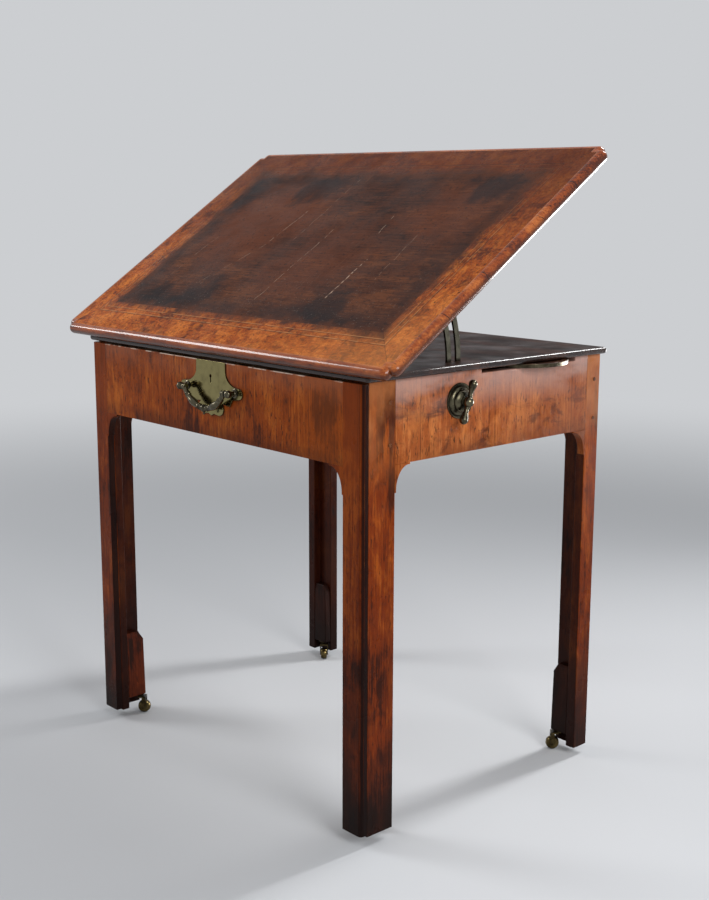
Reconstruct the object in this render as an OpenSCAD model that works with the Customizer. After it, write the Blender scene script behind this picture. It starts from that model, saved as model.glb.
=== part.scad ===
// Architect's table of about 1770: a reading leaf that tilts on a slotted brass quadrant,
// over a drawer that carries the front halves of the front legs.
// Right is +X, the back is +Y, up is +Z. The table stands on z = 0.

/* [Carcass] */
// Width over the side rails
carcass_w = 780; // [740:5:820]
// Depth from the fixed front legs' faces to the rear rail's face
carcass_d = 572; // [550:2:600]
// Height from the leg ends to the rail tops
carcass_h = 755; // [720:5:790]
// Height of the leg ends above the floor, which the casters give
foot_gap = 16; // [15:1:20]
// Depth of the rails, top to bottom
rail_drop = 137; // [130:1:145]
// Thickness of the rails
rail_t = 20; // [18:1:22]
// Width of the shaped brackets along the rails
bracket_w = 34; // [24:1:40]
// Height of the shaped brackets down the legs
bracket_h = 46; // [30:1:55]
// Thickness of the shaped brackets
bracket_t = 14; // [10:1:14]

/* [Legs] */
// Thickness of the two boards of each leg
leg_board_t = 20; // [18:1:22]
// Width of a front leg across the front
front_leg_w = 45; // [42:1:50]
// Depth of a fixed front leg along the side
front_leg_d = 57; // [52:1:64]
// Thickness of a fixed front leg's front board
front_board_t = 16; // [14:1:18]
// Width of a rear leg across the back
rear_leg_w = 58; // [54:1:66]
// Depth of a rear leg along the side
rear_leg_d = 36; // [35:1:40]
// Height of the corner blocks' tops above the leg ends
block_top = 157; // [120:1:180]
// Height of the corner blocks' undersides above the leg ends
block_bottom = 22; // [22:1:26]
// Diameter of the tenon pegs
peg_d = 7; // [5:0.5:8]
// How far the peg heads stand proud
peg_proud = 1.2; // [0.5:0.1:2]

/* [Sliding front] */
// Thickness of the drawer's front and of the sliding leg fronts
slab_t = 14; // [12:1:18]
// Running gap between the sliding front and the fixed legs
slide_gap = 0.4; // [0.3:0.1:0.8]
// Height of the sliding leg fronts' ends above the fixed leg ends
slab_lift = 4; // [2:1:8]
// Gap between the sliding front's top and the lower leaf
front_top_gap = 2.5; // [1.5:0.5:4]
// Radius of the bead on the sliding legs' outer corners
bead_r = 5; // [3:0.5:6]

/* [Drawer] */
// Thickness of the drawer front behind the slab
front_inner_t = 10; // [8:1:12]
// Thickness of the drawer sides
drawer_side_t = 11; // [9:1:12]
// Height of the drawer sides
drawer_side_h = 98; // [90:1:99]
// Gap between the shut drawer's back and the rear rail
drawer_rear_gap = 44; // [20:2:90]
// Thickness of the drawer back
drawer_back_t = 10; // [8:1:14]
// Thickness of the drawer bottom
drawer_bottom_t = 6; // [5:1:8]
// Depth of the grooves that hold the drawer bottom
groove_deep = 5; // [3:1:6]
// Width of a drawer runner
runner_w = 42; // [38:1:44]
// Thickness of the drawer runners
runner_t = 14; // [12:1:16]
// Thickness of the kickers above the drawer sides
kicker_t = 11; // [9:1:12]
// Thickness of the rail above the drawer
top_rail_t = 14; // [12:1:16]
// Depth of the rail above the drawer, front to back
top_rail_d = 50; // [40:1:60]

/* [Leaves] */
// Thickness of the lower leaf
lower_t = 12; // [10:1:14]
// How far the lower leaf stands out past the side rails
lower_over_side = 12; // [8:1:20]
// How far the lower leaf stands out past the rear rail
lower_over_rear = 6; // [4:1:16]
// Width of the upper leaf
leaf_w = 936; // [900:2:960]
// Depth of the upper leaf, front to back
leaf_l = 618; // [598:1:638]
// How far the upper leaf stands out in front of its hinge axis
leaf_lip = 13; // [10:1:14]
// Thickness of the upper leaf
leaf_t = 22; // [20:1:24]
// Gap between the two leaves when closed
leaf_gap = 1; // [0.6:0.1:1.5]
// Tilt of the upper leaf as it stands
tilt = 33.8; // [0:0.1:37]
// Size of the cut-back corners of the upper leaf
corner_cut = 24; // [24:1:32]
// Width of the banded border from the leaf's edge
border_w = 89; // [76:1:104]
// Distance of the string line from the leaf's edge
string_in = 60; // [44:1:66]
// Thickness of the banding and of the panel veneer
veneer_t = 1.5; // [1:0.1:2]

/* [Leaf hinges] */
// Length of each hinge along its pin
hinge_l = 60; // [50:1:80]
// Distance of each hinge's middle from the table's middle
hinge_x = 290; // [250:5:320]
// Width of each hinge plate
hinge_plate_w = 36; // [28:1:44]
// Thickness of each hinge plate
hinge_plate_t = 1.8; // [1.4:0.1:2.2]
// Radius of the hinge knuckles
knuckle_r = 3.2; // [3:0.1:3.4]
// Radius of the hinge pins
hinge_pin_r = 1.5; // [1.2:0.1:1.8]

/* [Quadrant stay] */
// Radius of the middle of the quadrant's slot
quad_r = 222; // [216:1:226]
// Width of the brass on each side of the slot
quad_rim = 10; // [8:0.5:12]
// Width of the slot
quad_slot = 12; // [11.6:0.2:13]
// Thickness of the quadrant
quad_t = 4; // [3:0.5:5]
// Angle of the quadrant's tail below the upper leaf
quad_tail = 57.5; // [56.8:0.1:58]
// Largest tilt that the slot allows
tilt_max = 38; // [37:0.5:38]

/* [Clamp] */
// Height of the clamp below the rail tops
clamp_drop = 49; // [44:1:54]
// Radius of the clamp bolt's shank
clamp_r = 5.5; // [5:0.1:5.6]
// Radius of the clamp bolt's thread
thread_r = 4; // [3.5:0.1:4.5]
// Radius of the rosette
rosette_r = 30; // [26:1:34]
// Half length of the handle's bar to the middle of its end knobs
bar_half = 31; // [26:1:34]
// Radius of the bar's end knobs
knob_r = 6.5; // [4.5:0.1:7]
// How far the middle of the bar stands out from the rail
bar_reach = 20; // [19:1:32]
// Turn of the bar from upright
bar_turn = -20; // [-45:1:45]

/* [Candle stand] */
// Radius of the tray over its brass rim
tray_r = 88; // [80:1:88]
// Thickness of the tray
tray_t = 6.6; // [6:0.1:8]
// Width of the brass rim
tray_rim_w = 2; // [1.5:0.1:3]
// Distance from the pivot to the tray's middle
tray_reach = 124; // [122:1:126]
// Swing of the tray as it stands, from pointing straight back
tray_swing = -7; // [-22:1:20]

/* [Lock and handle] */
// Half width of the lock plate at its top
plate_top_half = 42; // [38:1:46]
// Half width of the lock plate over its tips
plate_tip_half = 90; // [86:1:96]
// Thickness of the lock plate
plate_t = 2; // [1.5:0.1:3]
// Distance of the handle's posts from the middle
post_x = 70; // [68:1:76]
// How far the posts' heads stand out from the drawer front
handle_reach = 24; // [22:1:28]
// Depth of the bail below its pivots
bail_drop = 32; // [28:1:44]
// Radius of the bail's bar
bail_r = 4.5; // [3:0.1:4.5]
// How far the lock bolt shoots
bolt_throw = 8; // [6:1:9]

/* [Casters] */
// Radius of the wheels
wheel_r = 13; // [12:0.5:13]
// Width of the wheels
wheel_w = 13; // [10:1:13]
// Distance of the axle behind the swivel
caster_trail = 8; // [7:0.5:9]

/* [Hidden] */
CORNERS = ["front_left", "front_right", "rear_left", "rear_right"];
$fn = 64;

mahogany = [0.52, 0.25, 0.12];
mahogany_dark = [0.36, 0.16, 0.09];
banding = [0.66, 0.36, 0.18];
panel_brown = [0.20, 0.11, 0.08];
oak = [0.62, 0.47, 0.30];
brass = [0.62, 0.53, 0.30];

fit = 0.05;
seat_gap = 0.3;
half_w = carcass_w / 2;
front_y = -carcass_d / 2;
rear_y = carcass_d / 2;
slab_y = front_y - slab_t;
rail_z = carcass_h - rail_drop;
lower_top = carcass_h + lower_t;
side_rail_y0 = front_y + front_leg_d;
side_rail_y1 = rear_y - rear_leg_d;
rear_rail_x = half_w - rear_leg_w;
opening_x = half_w - front_leg_w;
inner_x = half_w - rail_t;

// The hinge axis of the upper leaf lies between the leaves, just behind their front edges.
hinge_inset = 3;
hinge_y = slab_y + hinge_inset;
hinge_z = lower_top + leaf_gap / 2;
leaf_y0 = hinge_y - leaf_lip;
leaf_z0 = lower_top + leaf_gap;
leaf_nose = leaf_t / 2;

// The stay and its clamp lie on one circle round the hinge axis.
quad_in = quad_r - quad_slot / 2 - quad_rim;
quad_out = quad_r + quad_slot / 2 + quad_rim;
quad_clear = 0.3;
wear_t = 2.2;
quad_x1 = inner_x - wear_t - quad_clear;
quad_x0 = quad_x1 - quad_t;
clamp_z = carcass_h - clamp_drop;
clamp_below = hinge_z - clamp_z;
clamp_y = hinge_y + sqrt(quad_r * quad_r - clamp_below * clamp_below);
clamp_angle = asin(clamp_below / quad_r);
slot_end = clamp_angle + tilt_max + 0.4;
slot_start = 8;

// The runners stand clear of the stay, which swings down between them and the rail.
runner_x1 = quad_x0 - 2.5;
runner_x0 = runner_x1 - runner_w;
guide_t = runner_w - drawer_side_t - 2.4;
drawer_half = runner_x1 - guide_t - 0.6;
drawer_z = rail_z + runner_t + seat_gap;
drawer_y1 = rear_y - rail_t - drawer_rear_gap;
kicker_z = drawer_z + drawer_side_h + 0.7;
front_inner_top = carcass_h - top_rail_t - 2;
front_top = carcass_h - front_top_gap;

tray_gap = 0.9;
tray_z = carcass_h - tray_gap - tray_t;
tray_pivot_x = inner_x - 20;
tray_pivot_y = 0;
tray_notch_y0 = tray_pivot_y - 31;
tray_notch_y1 = tray_pivot_y + tray_reach + tray_r + 2;
tray_notch_z = tray_z - 0.5;
arm_w = 24;

lock_w = 72;
lock_h = 45;
lock_d = 14;
lock_wall = 1.5;
lock_y = front_y + front_inner_t - lock_d;
lock_mid_y = lock_y + lock_d / 2;
bolt_w = 28;
bolt_d = 5;
bolt_h = 34;
bolt_clear = 0.25;
key_z = carcass_h - 29;
post_z = carcass_h - 52;
plate_tip_z = carcass_h - 51;
post_ball_r = 7;
bail_y = slab_y - handle_reach + post_ball_r;
bail_pin_r = 2.2;

caster_near = 5;
caster_far = 11;
plate_brass_t = 2;
fork_crown_t = 3.5;
fork_wall = 2;
fork_half = wheel_w / 2 + 0.5;
wheel_z = wheel_r - foot_gap;
crown_top = block_bottom - plate_brass_t - seat_gap;
crown_z = crown_top - fork_crown_t;
stem_r = 2.5;
stem_l = 14;
axle_r = 2;

peg_r = peg_d / 2;
tenon_t = 8;
tenon_l = 28;
tenon_shoulder = 10;
peg_front_in = 45;
peg_rear_in = 15;
peg_drops = [36, 104];
peg_rear_drops = [46, 117];

// The rest box runs from the handle's posts to the lower leaf's rear edge.
rest_y0 = slab_y - handle_reach;
rest_y1 = rear_y + lower_over_rear;
y_mid = (rest_y0 + rest_y1) / 2;

function caster_x(c) = c < 2 ? opening_x + caster_near : rear_rail_x + caster_far;
function caster_y(c) = c < 2 ? side_rail_y0 - caster_far : side_rail_y1 + caster_near + 1;
function corner_side(c) = c % 2 == 0 ? -1 : 1;
function corner_back(c) = c < 2 ? -1 : 1;

module place() {
    translate([0, -y_mid, foot_gap]) children();
}

module tilted(angle = tilt) {
    translate([0, hinge_y, hinge_z]) rotate([angle, 0, 0]) translate([0, -hinge_y, -hinge_z])
        children();
}

module side_of(side) {
    if (side > 0) children();
    else mirror([1, 0, 0]) children();
}

// A box from its low corner to its high corner.
module block(low, high) {
    translate(low) cube(high - low);
}

// A rod along X between two places.
module rod_x(x0, x1, y, z, r) {
    translate([x0, y, z]) rotate([0, 90, 0]) cylinder(r = r, h = x1 - x0);
}

// A rod along Y between two places.
module rod_y(y0, y1, x, z, r) {
    translate([x, y1, z]) rotate([90, 0, 0]) cylinder(r = r, h = y1 - y0);
}

// A ring sector round the X axis, from radius r0 to r1 and from angle a0 to a1.
module sector(r0, r1, a0, a1, x0, x1) {
    translate([x0, 0, 0]) rotate([90, 0, 90]) rotate([0, 0, a0])
        rotate_extrude(angle = a1 - a0, $fn = 128) translate([r0, 0]) square([r1 - r0, x1 - x0]);
}

// Fixed front leg: a side board and a narrower front board that make an L.
module front_leg(side) {
    color(mahogany) place() side_of(side) difference() {
        union() {
            block([half_w - leg_board_t, front_y, 0], [half_w, side_rail_y0, carcass_h]);
            block([opening_x, front_y, 0], [half_w, front_y + front_board_t, carcass_h]);
        }
        tenon(side_rail_y0, -1, fit);
        for (drop = peg_drops) {
            rod_x(half_w - leg_board_t - 1, half_w + 1, front_y + peg_front_in,
                carcass_h - drop, peg_r + fit);
        }
    }
}

// Rear leg: a wide back board and a narrow side board.
module rear_leg(side) {
    color(mahogany) place() side_of(side) difference() {
        union() {
            block([half_w - leg_board_t, side_rail_y1, 0], [half_w, rear_y, carcass_h]);
            block([rear_rail_x, rear_y - leg_board_t, 0], [half_w, rear_y, carcass_h]);
        }
        tenon(side_rail_y1, 1, fit);
        rear_tenon(fit);
        for (drop = peg_rear_drops) {
            rod_x(half_w - leg_board_t - 1, half_w + 1, rear_y - peg_rear_in,
                carcass_h - drop, peg_r + fit);
            rod_y(rear_y - leg_board_t - 1, rear_y + 1, rear_rail_x + peg_rear_in,
                carcass_h - drop, peg_r + fit);
        }
    }
}

// Tenon of a side rail, from its shoulder y along dir.
module tenon(y, dir, grow) {
    x = half_w - rail_t / 2;
    block([x - tenon_t / 2 - grow, min(y, y + dir * (tenon_l + grow)), rail_z + tenon_shoulder - grow],
        [x + tenon_t / 2 + grow, max(y, y + dir * (tenon_l + grow)),
            carcass_h - tenon_shoulder + grow]);
}

// Tenon of the rear rail in the right-hand leg.
module rear_tenon(grow) {
    y = rear_y - rail_t / 2;
    block([rear_rail_x, y - tenon_t / 2 - grow, rail_z + tenon_shoulder - grow],
        [rear_rail_x + tenon_l + grow, y + tenon_t / 2 + grow, carcass_h - tenon_shoulder + grow]);
}

// Corner block that fills the foot of one leg.
module foot_block(c) {
    low_y = c < 2 ? front_y + front_board_t : side_rail_y1;
    high_y = c < 2 ? side_rail_y0 : rear_y - leg_board_t;
    low_x = c < 2 ? opening_x : rear_rail_x;
    difference() {
        block([low_x, low_y, block_bottom], [half_w - leg_board_t, high_y, block_top]);
        translate([caster_x(c), caster_y(c), block_bottom - 1])
            cylinder(r = stem_r + fit, h = stem_l + 1, $fn = 32);
    }
}

module foot_blocks() {
    color(mahogany_dark) place() for (c = [0:3]) side_of(corner_side(c)) foot_block(c);
}

module side_rail_body() {
    block([inner_x, side_rail_y0, rail_z], [half_w, side_rail_y1, carcass_h]);
    tenon(side_rail_y0, -1, 0);
    tenon(side_rail_y1, 1, 0);
}

module rail_peg_holes() {
    for (drop = peg_drops) {
        rod_x(inner_x - 1, half_w + 1, front_y + peg_front_in, carcass_h - drop, peg_r + fit);
    }
    for (drop = peg_rear_drops) {
        rod_x(inner_x - 1, half_w + 1, rear_y - peg_rear_in, carcass_h - drop, peg_r + fit);
    }
}

module side_rail_left() {
    color(mahogany) place() side_of(-1) difference() {
        side_rail_body();
        rail_peg_holes();
    }
}

// The right rail is notched for the candle tray and bored for the clamp.
module side_rail_right() {
    color(mahogany) place() difference() {
        side_rail_body();
        rail_peg_holes();
        block([inner_x - 1, tray_notch_y0, tray_notch_z], [half_w + 1, tray_notch_y1, carcass_h + 1]);
        rod_x(inner_x - 1, half_w + 1, clamp_y, clamp_z, clamp_r + 0.5);
    }
}

module rear_rail() {
    color(mahogany_dark) place() difference() {
        union() {
            block([-rear_rail_x, rear_y - rail_t, rail_z], [rear_rail_x, rear_y, carcass_h]);
            for (side = [-1, 1]) side_of(side) rear_tenon(0);
        }
        for (side = [-1, 1], drop = peg_rear_drops) {
            rod_y(rear_y - rail_t - 1, rear_y + 1, side * (rear_rail_x + peg_rear_in),
                carcass_h - drop, peg_r + fit);
        }
    }
}

// Rail above the drawer, mortised for the lock's bolt.
module top_front_rail() {
    color(oak) place() difference() {
        block([-opening_x, front_y, carcass_h - top_rail_t], [opening_x, front_y + top_rail_d, carcass_h]);
        block([-bolt_w / 2 - 1, lock_mid_y - bolt_d / 2 - 1, carcass_h - top_rail_t - 1],
            [bolt_w / 2 + 1, lock_mid_y + bolt_d / 2 + 1, carcass_h - top_rail_t + bolt_throw]);
    }
}

module lower_front_rail() {
    color(oak) place()
        block([-opening_x, front_y, rail_z], [opening_x, front_y + front_board_t, rail_z + runner_t - 1]);
}

// Outline of a bracket: the corner at the origin, the rail along +x, the leg down -y.
module bracket_outline() {
    lip = 3;
    steps = 10;
    polygon(concat([[0, 0], [bracket_w, 0], [bracket_w, -lip]],
        [for (i = [0:steps]) let (a = 90 * i / steps)
            [bracket_w - lip - (bracket_w - 2 * lip) * sin(a),
                -lip - (bracket_h - 2 * lip) * (1 - cos(a))]],
        [[lip, -bracket_h], [0, -bracket_h]]));
}

module side_bracket(y, dir) {
    translate([half_w - bracket_t, y, rail_z]) rotate([90, 0, 90])
        linear_extrude(bracket_t) mirror([dir < 0 ? 1 : 0, 0]) bracket_outline();
}

module rail_brackets() {
    color(mahogany) place() {
        for (side = [-1, 1]) side_of(side) {
            side_bracket(side_rail_y0, 1);
            side_bracket(side_rail_y1, -1);
            translate([rear_rail_x, rear_y, rail_z]) rotate([90, 0, 0])
                linear_extrude(bracket_t) mirror([1, 0]) bracket_outline();
        }
    }
}

// Pegs through the tenons, with heads that stand a little proud.
module tenon_pegs() {
    color(mahogany_dark) place() for (side = [-1, 1]) side_of(side) {
        for (drop = peg_drops) {
            rod_x(inner_x, half_w + peg_proud, front_y + peg_front_in, carcass_h - drop, peg_r);
        }
        for (drop = peg_rear_drops) {
            rod_x(inner_x, half_w + peg_proud, rear_y - peg_rear_in, carcass_h - drop, peg_r);
            rod_y(rear_y - rail_t, rear_y + peg_proud, rear_rail_x + peg_rear_in,
                carcass_h - drop, peg_r);
        }
    }
}

module drawer_runners() {
    color(oak) place() for (side = [-1, 1]) side_of(side) {
        y0 = front_y + front_board_t;
        y1 = rear_y - leg_board_t;
        block([runner_x0, y0, rail_z], [runner_x1, y1, rail_z + runner_t]);
        block([runner_x1 - guide_t, y0, rail_z + runner_t - 1], [runner_x1, y1, rail_z + 3 * runner_t]);
    }
}

module drawer_kickers() {
    color(oak) place() for (side = [-1, 1]) side_of(side)
        block([runner_x0, front_y + top_rail_d, kicker_z],
            [runner_x1, rear_y - leg_board_t, kicker_z + kicker_t]);
}

// A board with a full round nose on all four edges and round corners.
module nosed_board(x, y0, y1, z, t) {
    r = t / 2;
    block([-x + r, y0 + r, z], [x - r, y1 - r, z + t]);
    for (y = [y0 + r, y1 - r]) rod_x(-x + r, x - r, y, z + r, r);
    for (side = [-1, 1]) {
        rod_y(y0 + r, y1 - r, side * (x - r), z + r, r);
        for (y = [y0 + r, y1 - r]) translate([side * (x - r), y, z + r]) sphere(r = r);
    }
}

module lower_leaf() {
    color(panel_brown) place() difference() {
        nosed_board(half_w + lower_over_side, slab_y, rear_y + lower_over_rear, carcass_h, lower_t);
        // Slot for the quadrant
        block([quad_x0 - 1.2, hinge_y + quad_in - 2, carcass_h - 1],
            [quad_x1 + 1.2, hinge_y + quad_out + 1.5, lower_top + 1]);
        for (side = [-1, 1]) hinge_recess(side, lower_top - hinge_plate_t, lower_top + 1);
        translate([tray_pivot_x, tray_pivot_y, carcass_h - 1])
            cylinder(r = 3 + fit, h = lower_t - 1, $fn = 32);
    }
}

// Space for one hinge's plate and knuckles.
module hinge_recess(side, z0, z1) {
    x = side * hinge_x;
    block([x - hinge_l / 2 - fit, hinge_y, z0 - fit], [x + hinge_l / 2 + fit, hinge_y + hinge_plate_w + fit, z1]);
    rod_x(x - hinge_l / 2 - seat_gap, x + hinge_l / 2 + seat_gap, hinge_y, hinge_z,
        knuckle_r + seat_gap);
}

// A row of knuckles, given as [start, end] pairs from the hinge's middle.
module knuckles(x, spans) {
    difference() {
        for (s = spans) rod_x(x + s[0], x + s[1], hinge_y, hinge_z, knuckle_r);
        rod_x(x - hinge_l, x + hinge_l, hinge_y, hinge_z, hinge_pin_r + fit);
    }
}

// One plate with the knuckles it carries, its other knuckles' places cut away.
module hinge_plate(x, z0, spans, gaps) {
    difference() {
        block([x - hinge_l / 2, hinge_y, z0], [x + hinge_l / 2, hinge_y + hinge_plate_w, z0 + hinge_plate_t]);
        for (s = gaps) {
            rod_x(x + s[0] - 0.2, x + s[1] + 0.2, hinge_y, hinge_z, knuckle_r + seat_gap);
        }
        rod_x(x - hinge_l, x + hinge_l, hinge_y, hinge_z, hinge_pin_r + fit);
    }
    knuckles(x, spans);
}

module hinge_plates_lower() {
    third = hinge_l / 3;
    color(brass) place() for (side = [-1, 1])
        hinge_plate(side * hinge_x, lower_top - hinge_plate_t,
            [[-hinge_l / 2, -third / 2 - 0.2], [third / 2 + 0.2, hinge_l / 2]],
            [[-third / 2, third / 2]]);
}

module hinge_plates_upper() {
    third = hinge_l / 3;
    color(brass) place() tilted() for (side = [-1, 1])
        hinge_plate(side * hinge_x, leaf_z0, [[-third / 2, third / 2]],
            [[-hinge_l / 2 - 1, -third / 2 - 0.2], [third / 2 + 0.2, hinge_l / 2 + 1]]);
}

module hinge_pins() {
    color(brass) place() for (side = [-1, 1])
        rod_x(side * hinge_x - hinge_l / 2, side * hinge_x + hinge_l / 2, hinge_y, hinge_z, hinge_pin_r);
}

// The upper leaf as it lies closed. A wide board and a deep one cross, both with round noses,
// which cuts its corners back to two lobes each.
module leaf_board() {
    x = leaf_w / 2;
    y0 = leaf_y0;
    y1 = leaf_y0 + leaf_l;
    notch = corner_cut - leaf_nose;
    nosed_board(x, y0 + notch, y1 - notch, leaf_z0, leaf_t);
    nosed_board(x - notch, y0, y1, leaf_z0, leaf_t);
}

// Plan outline of the leaf's top, drawn in by a distance from its edges.
module leaf_outline(inset) {
    x = leaf_w / 2;
    c = corner_cut;
    difference() {
        translate([-x + inset, leaf_y0 + inset]) square([leaf_w - 2 * inset, leaf_l - 2 * inset]);
        for (side = [-1, 1], y = [leaf_y0, leaf_y0 + leaf_l])
            translate([side * x, y]) square(2 * max(c - leaf_nose + inset, inset), center = true);
    }
}

module plain_outline(inset) {
    translate([-leaf_w / 2 + inset, leaf_y0 + inset]) square([leaf_w - 2 * inset, leaf_l - 2 * inset]);
}

// The leaf is cut down under the veneers, and for the hinges and the stay's foot.
module upper_leaf() {
    color(mahogany) place() tilted() difference() {
        leaf_board();
        translate([0, 0, leaf_z0 + leaf_t - veneer_t]) linear_extrude(veneer_t + 1)
            leaf_outline(leaf_nose + 2);
        for (side = [-1, 1]) hinge_recess(side, leaf_z0 - 1, leaf_z0 + hinge_plate_t + fit);
        block([quad_x0 - 8 - fit, hinge_y + quad_in - 8 - fit, leaf_z0 - 1],
            [quad_x1 + 8 + fit, hinge_y + quad_out + 8 + fit, leaf_z0 + stay_foot_t + fit]);
    }
}

module veneer() {
    translate([0, 0, leaf_z0 + leaf_t - veneer_t]) linear_extrude(veneer_t) children();
}

module crossbanding_outer() {
    color(banding) place() tilted() veneer() difference() {
        leaf_outline(leaf_nose + 2);
        plain_outline(string_in);
    }
}

module crossbanding_inner() {
    color(banding * 0.85) place() tilted() veneer() difference() {
        plain_outline(string_in);
        plain_outline(border_w);
    }
}

module leaf_panel() {
    color(panel_brown) place() tilted() veneer() plain_outline(border_w);
}

stay_foot_t = 2.5;

// The slotted quadrant, drawn with the leaf closed, and its foot in the leaf's underside.
module quadrant_stay() {
    color(brass) place() tilted() {
        difference() {
            translate([0, hinge_y, hinge_z])
                sector(quad_in, quad_out, -quad_tail, 0.4, quad_x0, quad_x1);
            translate([0, hinge_y, hinge_z]) {
                sector(quad_r - quad_slot / 2, quad_r + quad_slot / 2, -slot_end, -slot_start,
                    quad_x0 - 1, quad_x1 + 1);
                for (a = [slot_start, slot_end])
                    rod_x(quad_x0 - 1, quad_x1 + 1, quad_r * cos(a), -quad_r * sin(a), quad_slot / 2);
            }
        }
        block([quad_x0 - 8, hinge_y + quad_in - 8, leaf_z0],
            [quad_x1 + 8, hinge_y + quad_out + 8, leaf_z0 + stay_foot_t]);
    }
}

module clamp_wear_plate() {
    half = 20;
    color(brass) place() difference() {
        block([inner_x - wear_t, clamp_y - half, clamp_z - half], [inner_x, clamp_y + half, clamp_z + half]);
        rod_x(inner_x - wear_t - 1, inner_x + 1, clamp_y, clamp_z, clamp_r + fit);
    }
}

// Square-headed bolt that draws the stay against the rail.
module clamp_bolt() {
    half = 12;
    head_t = 4.5;
    color(brass) place() {
        block([quad_x0 - quad_clear - head_t, clamp_y - half, clamp_z - half],
            [quad_x0 - quad_clear, clamp_y + half, clamp_z + half]);
        rod_x(quad_x0 - quad_clear - 1, half_w, clamp_y, clamp_z, clamp_r);
        rod_x(half_w - 1, half_w + clamp_out, clamp_y, clamp_z, thread_r);
    }
}

rosette_steps = [[rosette_r, 3], [rosette_r * 0.78, 4.6], [rosette_r * 0.45, 6.5]];
hub_x = half_w + 6.5 + seat_gap;
clamp_out = 22;
knob_x = half_w + bar_reach;

module clamp_rosette() {
    color(brass) place() difference() {
        for (s = rosette_steps) rod_x(half_w, half_w + s[1], clamp_y, clamp_z, s[0]);
        rod_x(half_w - 1, half_w + 10, clamp_y, clamp_z, thread_r + 0.3);
    }
}

// The handle is a nut with a ball and a bar that ends in two knobs.
module clamp_handle() {
    ball_r = 8.5;
    color(brass) place() translate([0, clamp_y, clamp_z]) difference() {
        union() {
            rod_x(hub_x, hub_x + 4, 0, 0, 9);
            rod_x(hub_x + 3, knob_x, 0, 0, 6.5);
            translate([knob_x, 0, 0]) sphere(r = ball_r);
            for (turn = [bar_turn, bar_turn + 180]) translate([knob_x, 0, 0]) rotate([turn, 0, 0]) {
                cylinder(r1 = 2.8, r2 = 4.2, h = bar_half);
                translate([0, 0, bar_half]) sphere(r = knob_r);
            }
        }
        rod_x(hub_x - 1, half_w + clamp_out + 1, 0, 0, thread_r + fit);
    }
}

module swung(angle = tray_swing) {
    translate([tray_pivot_x, tray_pivot_y, 0]) rotate([0, 0, -angle]) children();
}

// Plan of the tray's arm, from the pivot to the tray's middle.
module arm_plan(half) {
    translate([-half, 0]) square([2 * half, tray_reach]);
    circle(r = half);
}

module candle_tray() {
    dish = 1.5;
    color(mahogany_dark) place() swung() difference() {
        union() {
            translate([0, tray_reach, tray_z]) cylinder(r = tray_r - tray_rim_w, h = tray_t, $fn = 128);
            translate([0, 0, tray_z]) linear_extrude(tray_t) arm_plan(arm_w / 2);
        }
        translate([0, tray_reach, tray_z + tray_t - dish])
            cylinder(r = tray_r - 10, h = dish + 1, $fn = 128);
        translate([0, 0, tray_z - 1]) cylinder(r = 3 + fit, h = tray_t + 2, $fn = 32);
        translate([0, 0, tray_z - 1]) cylinder(r = 6 + seat_gap, h = 3.2, $fn = 32);
    }
}

module candle_tray_rim() {
    color(brass) place() swung() difference() {
        translate([0, tray_reach, tray_z]) cylinder(r = tray_r, h = tray_t, $fn = 128);
        translate([0, tray_reach, tray_z - 1]) cylinder(r = tray_r - tray_rim_w, h = tray_t + 2, $fn = 128);
        translate([0, 0, tray_z - 1]) linear_extrude(tray_t + 2) arm_plan(arm_w / 2);
    }
}

// Headed pivot pin, with a collar that holds the arm down off the lower leaf.
module candle_pivot() {
    color(brass) place() translate([tray_pivot_x, tray_pivot_y, 0]) {
        translate([0, 0, tray_z]) cylinder(r = 6, h = 2, $fn = 32);
        translate([0, 0, tray_z]) cylinder(r = 3, h = carcass_h + lower_t - 3 - tray_z, $fn = 32);
        translate([0, 0, tray_z + tray_t + 0.2])
            cylinder(r = 9, h = carcass_h - tray_z - tray_t - 0.2, $fn = 32);
    }
}

// Drawer front: the slab that shows and a thinner board behind it, bored for lock and handle.
module drawer_front() {
    color(mahogany) place() difference() {
        union() {
            block([-opening_x, slab_y, rail_z], [opening_x, front_y - slide_gap, front_top]);
            block([-drawer_half, front_y - slide_gap - 1, drawer_z],
                [drawer_half, front_y + front_inner_t, front_inner_top]);
        }
        block([-lock_w / 2 - fit, lock_y - fit, front_inner_top - lock_h - fit],
            [lock_w / 2 + fit, front_y + front_inner_t + 1, front_inner_top + 1]);
        keyhole(slab_y - 1, lock_y + 1);
        for (side = [-1, 1])
            rod_y(slab_y - 1, front_y + front_inner_t + 1, side * post_x, post_z, post_stem_r + fit);
    }
}

post_stem_r = 3;

module keyhole(y0, y1) {
    rod_y(y0, y1, 0, key_z, 3.2);
    block([-1.3, y0, key_z - 12], [1.3, y1, key_z]);
}

// The front half of a front leg, which slides out with the drawer. Its outer corner is beaded.
module sliding_leg(side) {
    color(mahogany) place() side_of(side) {
        difference() {
            block([opening_x, slab_y, slab_lift], [half_w, front_y - slide_gap, front_top]);
            block([half_w - bead_r - 1, slab_y - 1, slab_lift - 1],
                [half_w + 1, slab_y + bead_r + 1, front_top + 1]);
        }
        translate([half_w - bead_r - 0.5, slab_y + bead_r + 0.5, slab_lift])
            cylinder(r = bead_r, h = front_top - slab_lift, $fn = 32);
    }
}

module sliding_brackets() {
    color(mahogany) place() for (side = [-1, 1]) side_of(side)
        translate([opening_x, front_y - slide_gap, rail_z]) rotate([90, 0, 0])
            linear_extrude(slab_t - slide_gap) mirror([1, 0]) bracket_outline();
}

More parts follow.
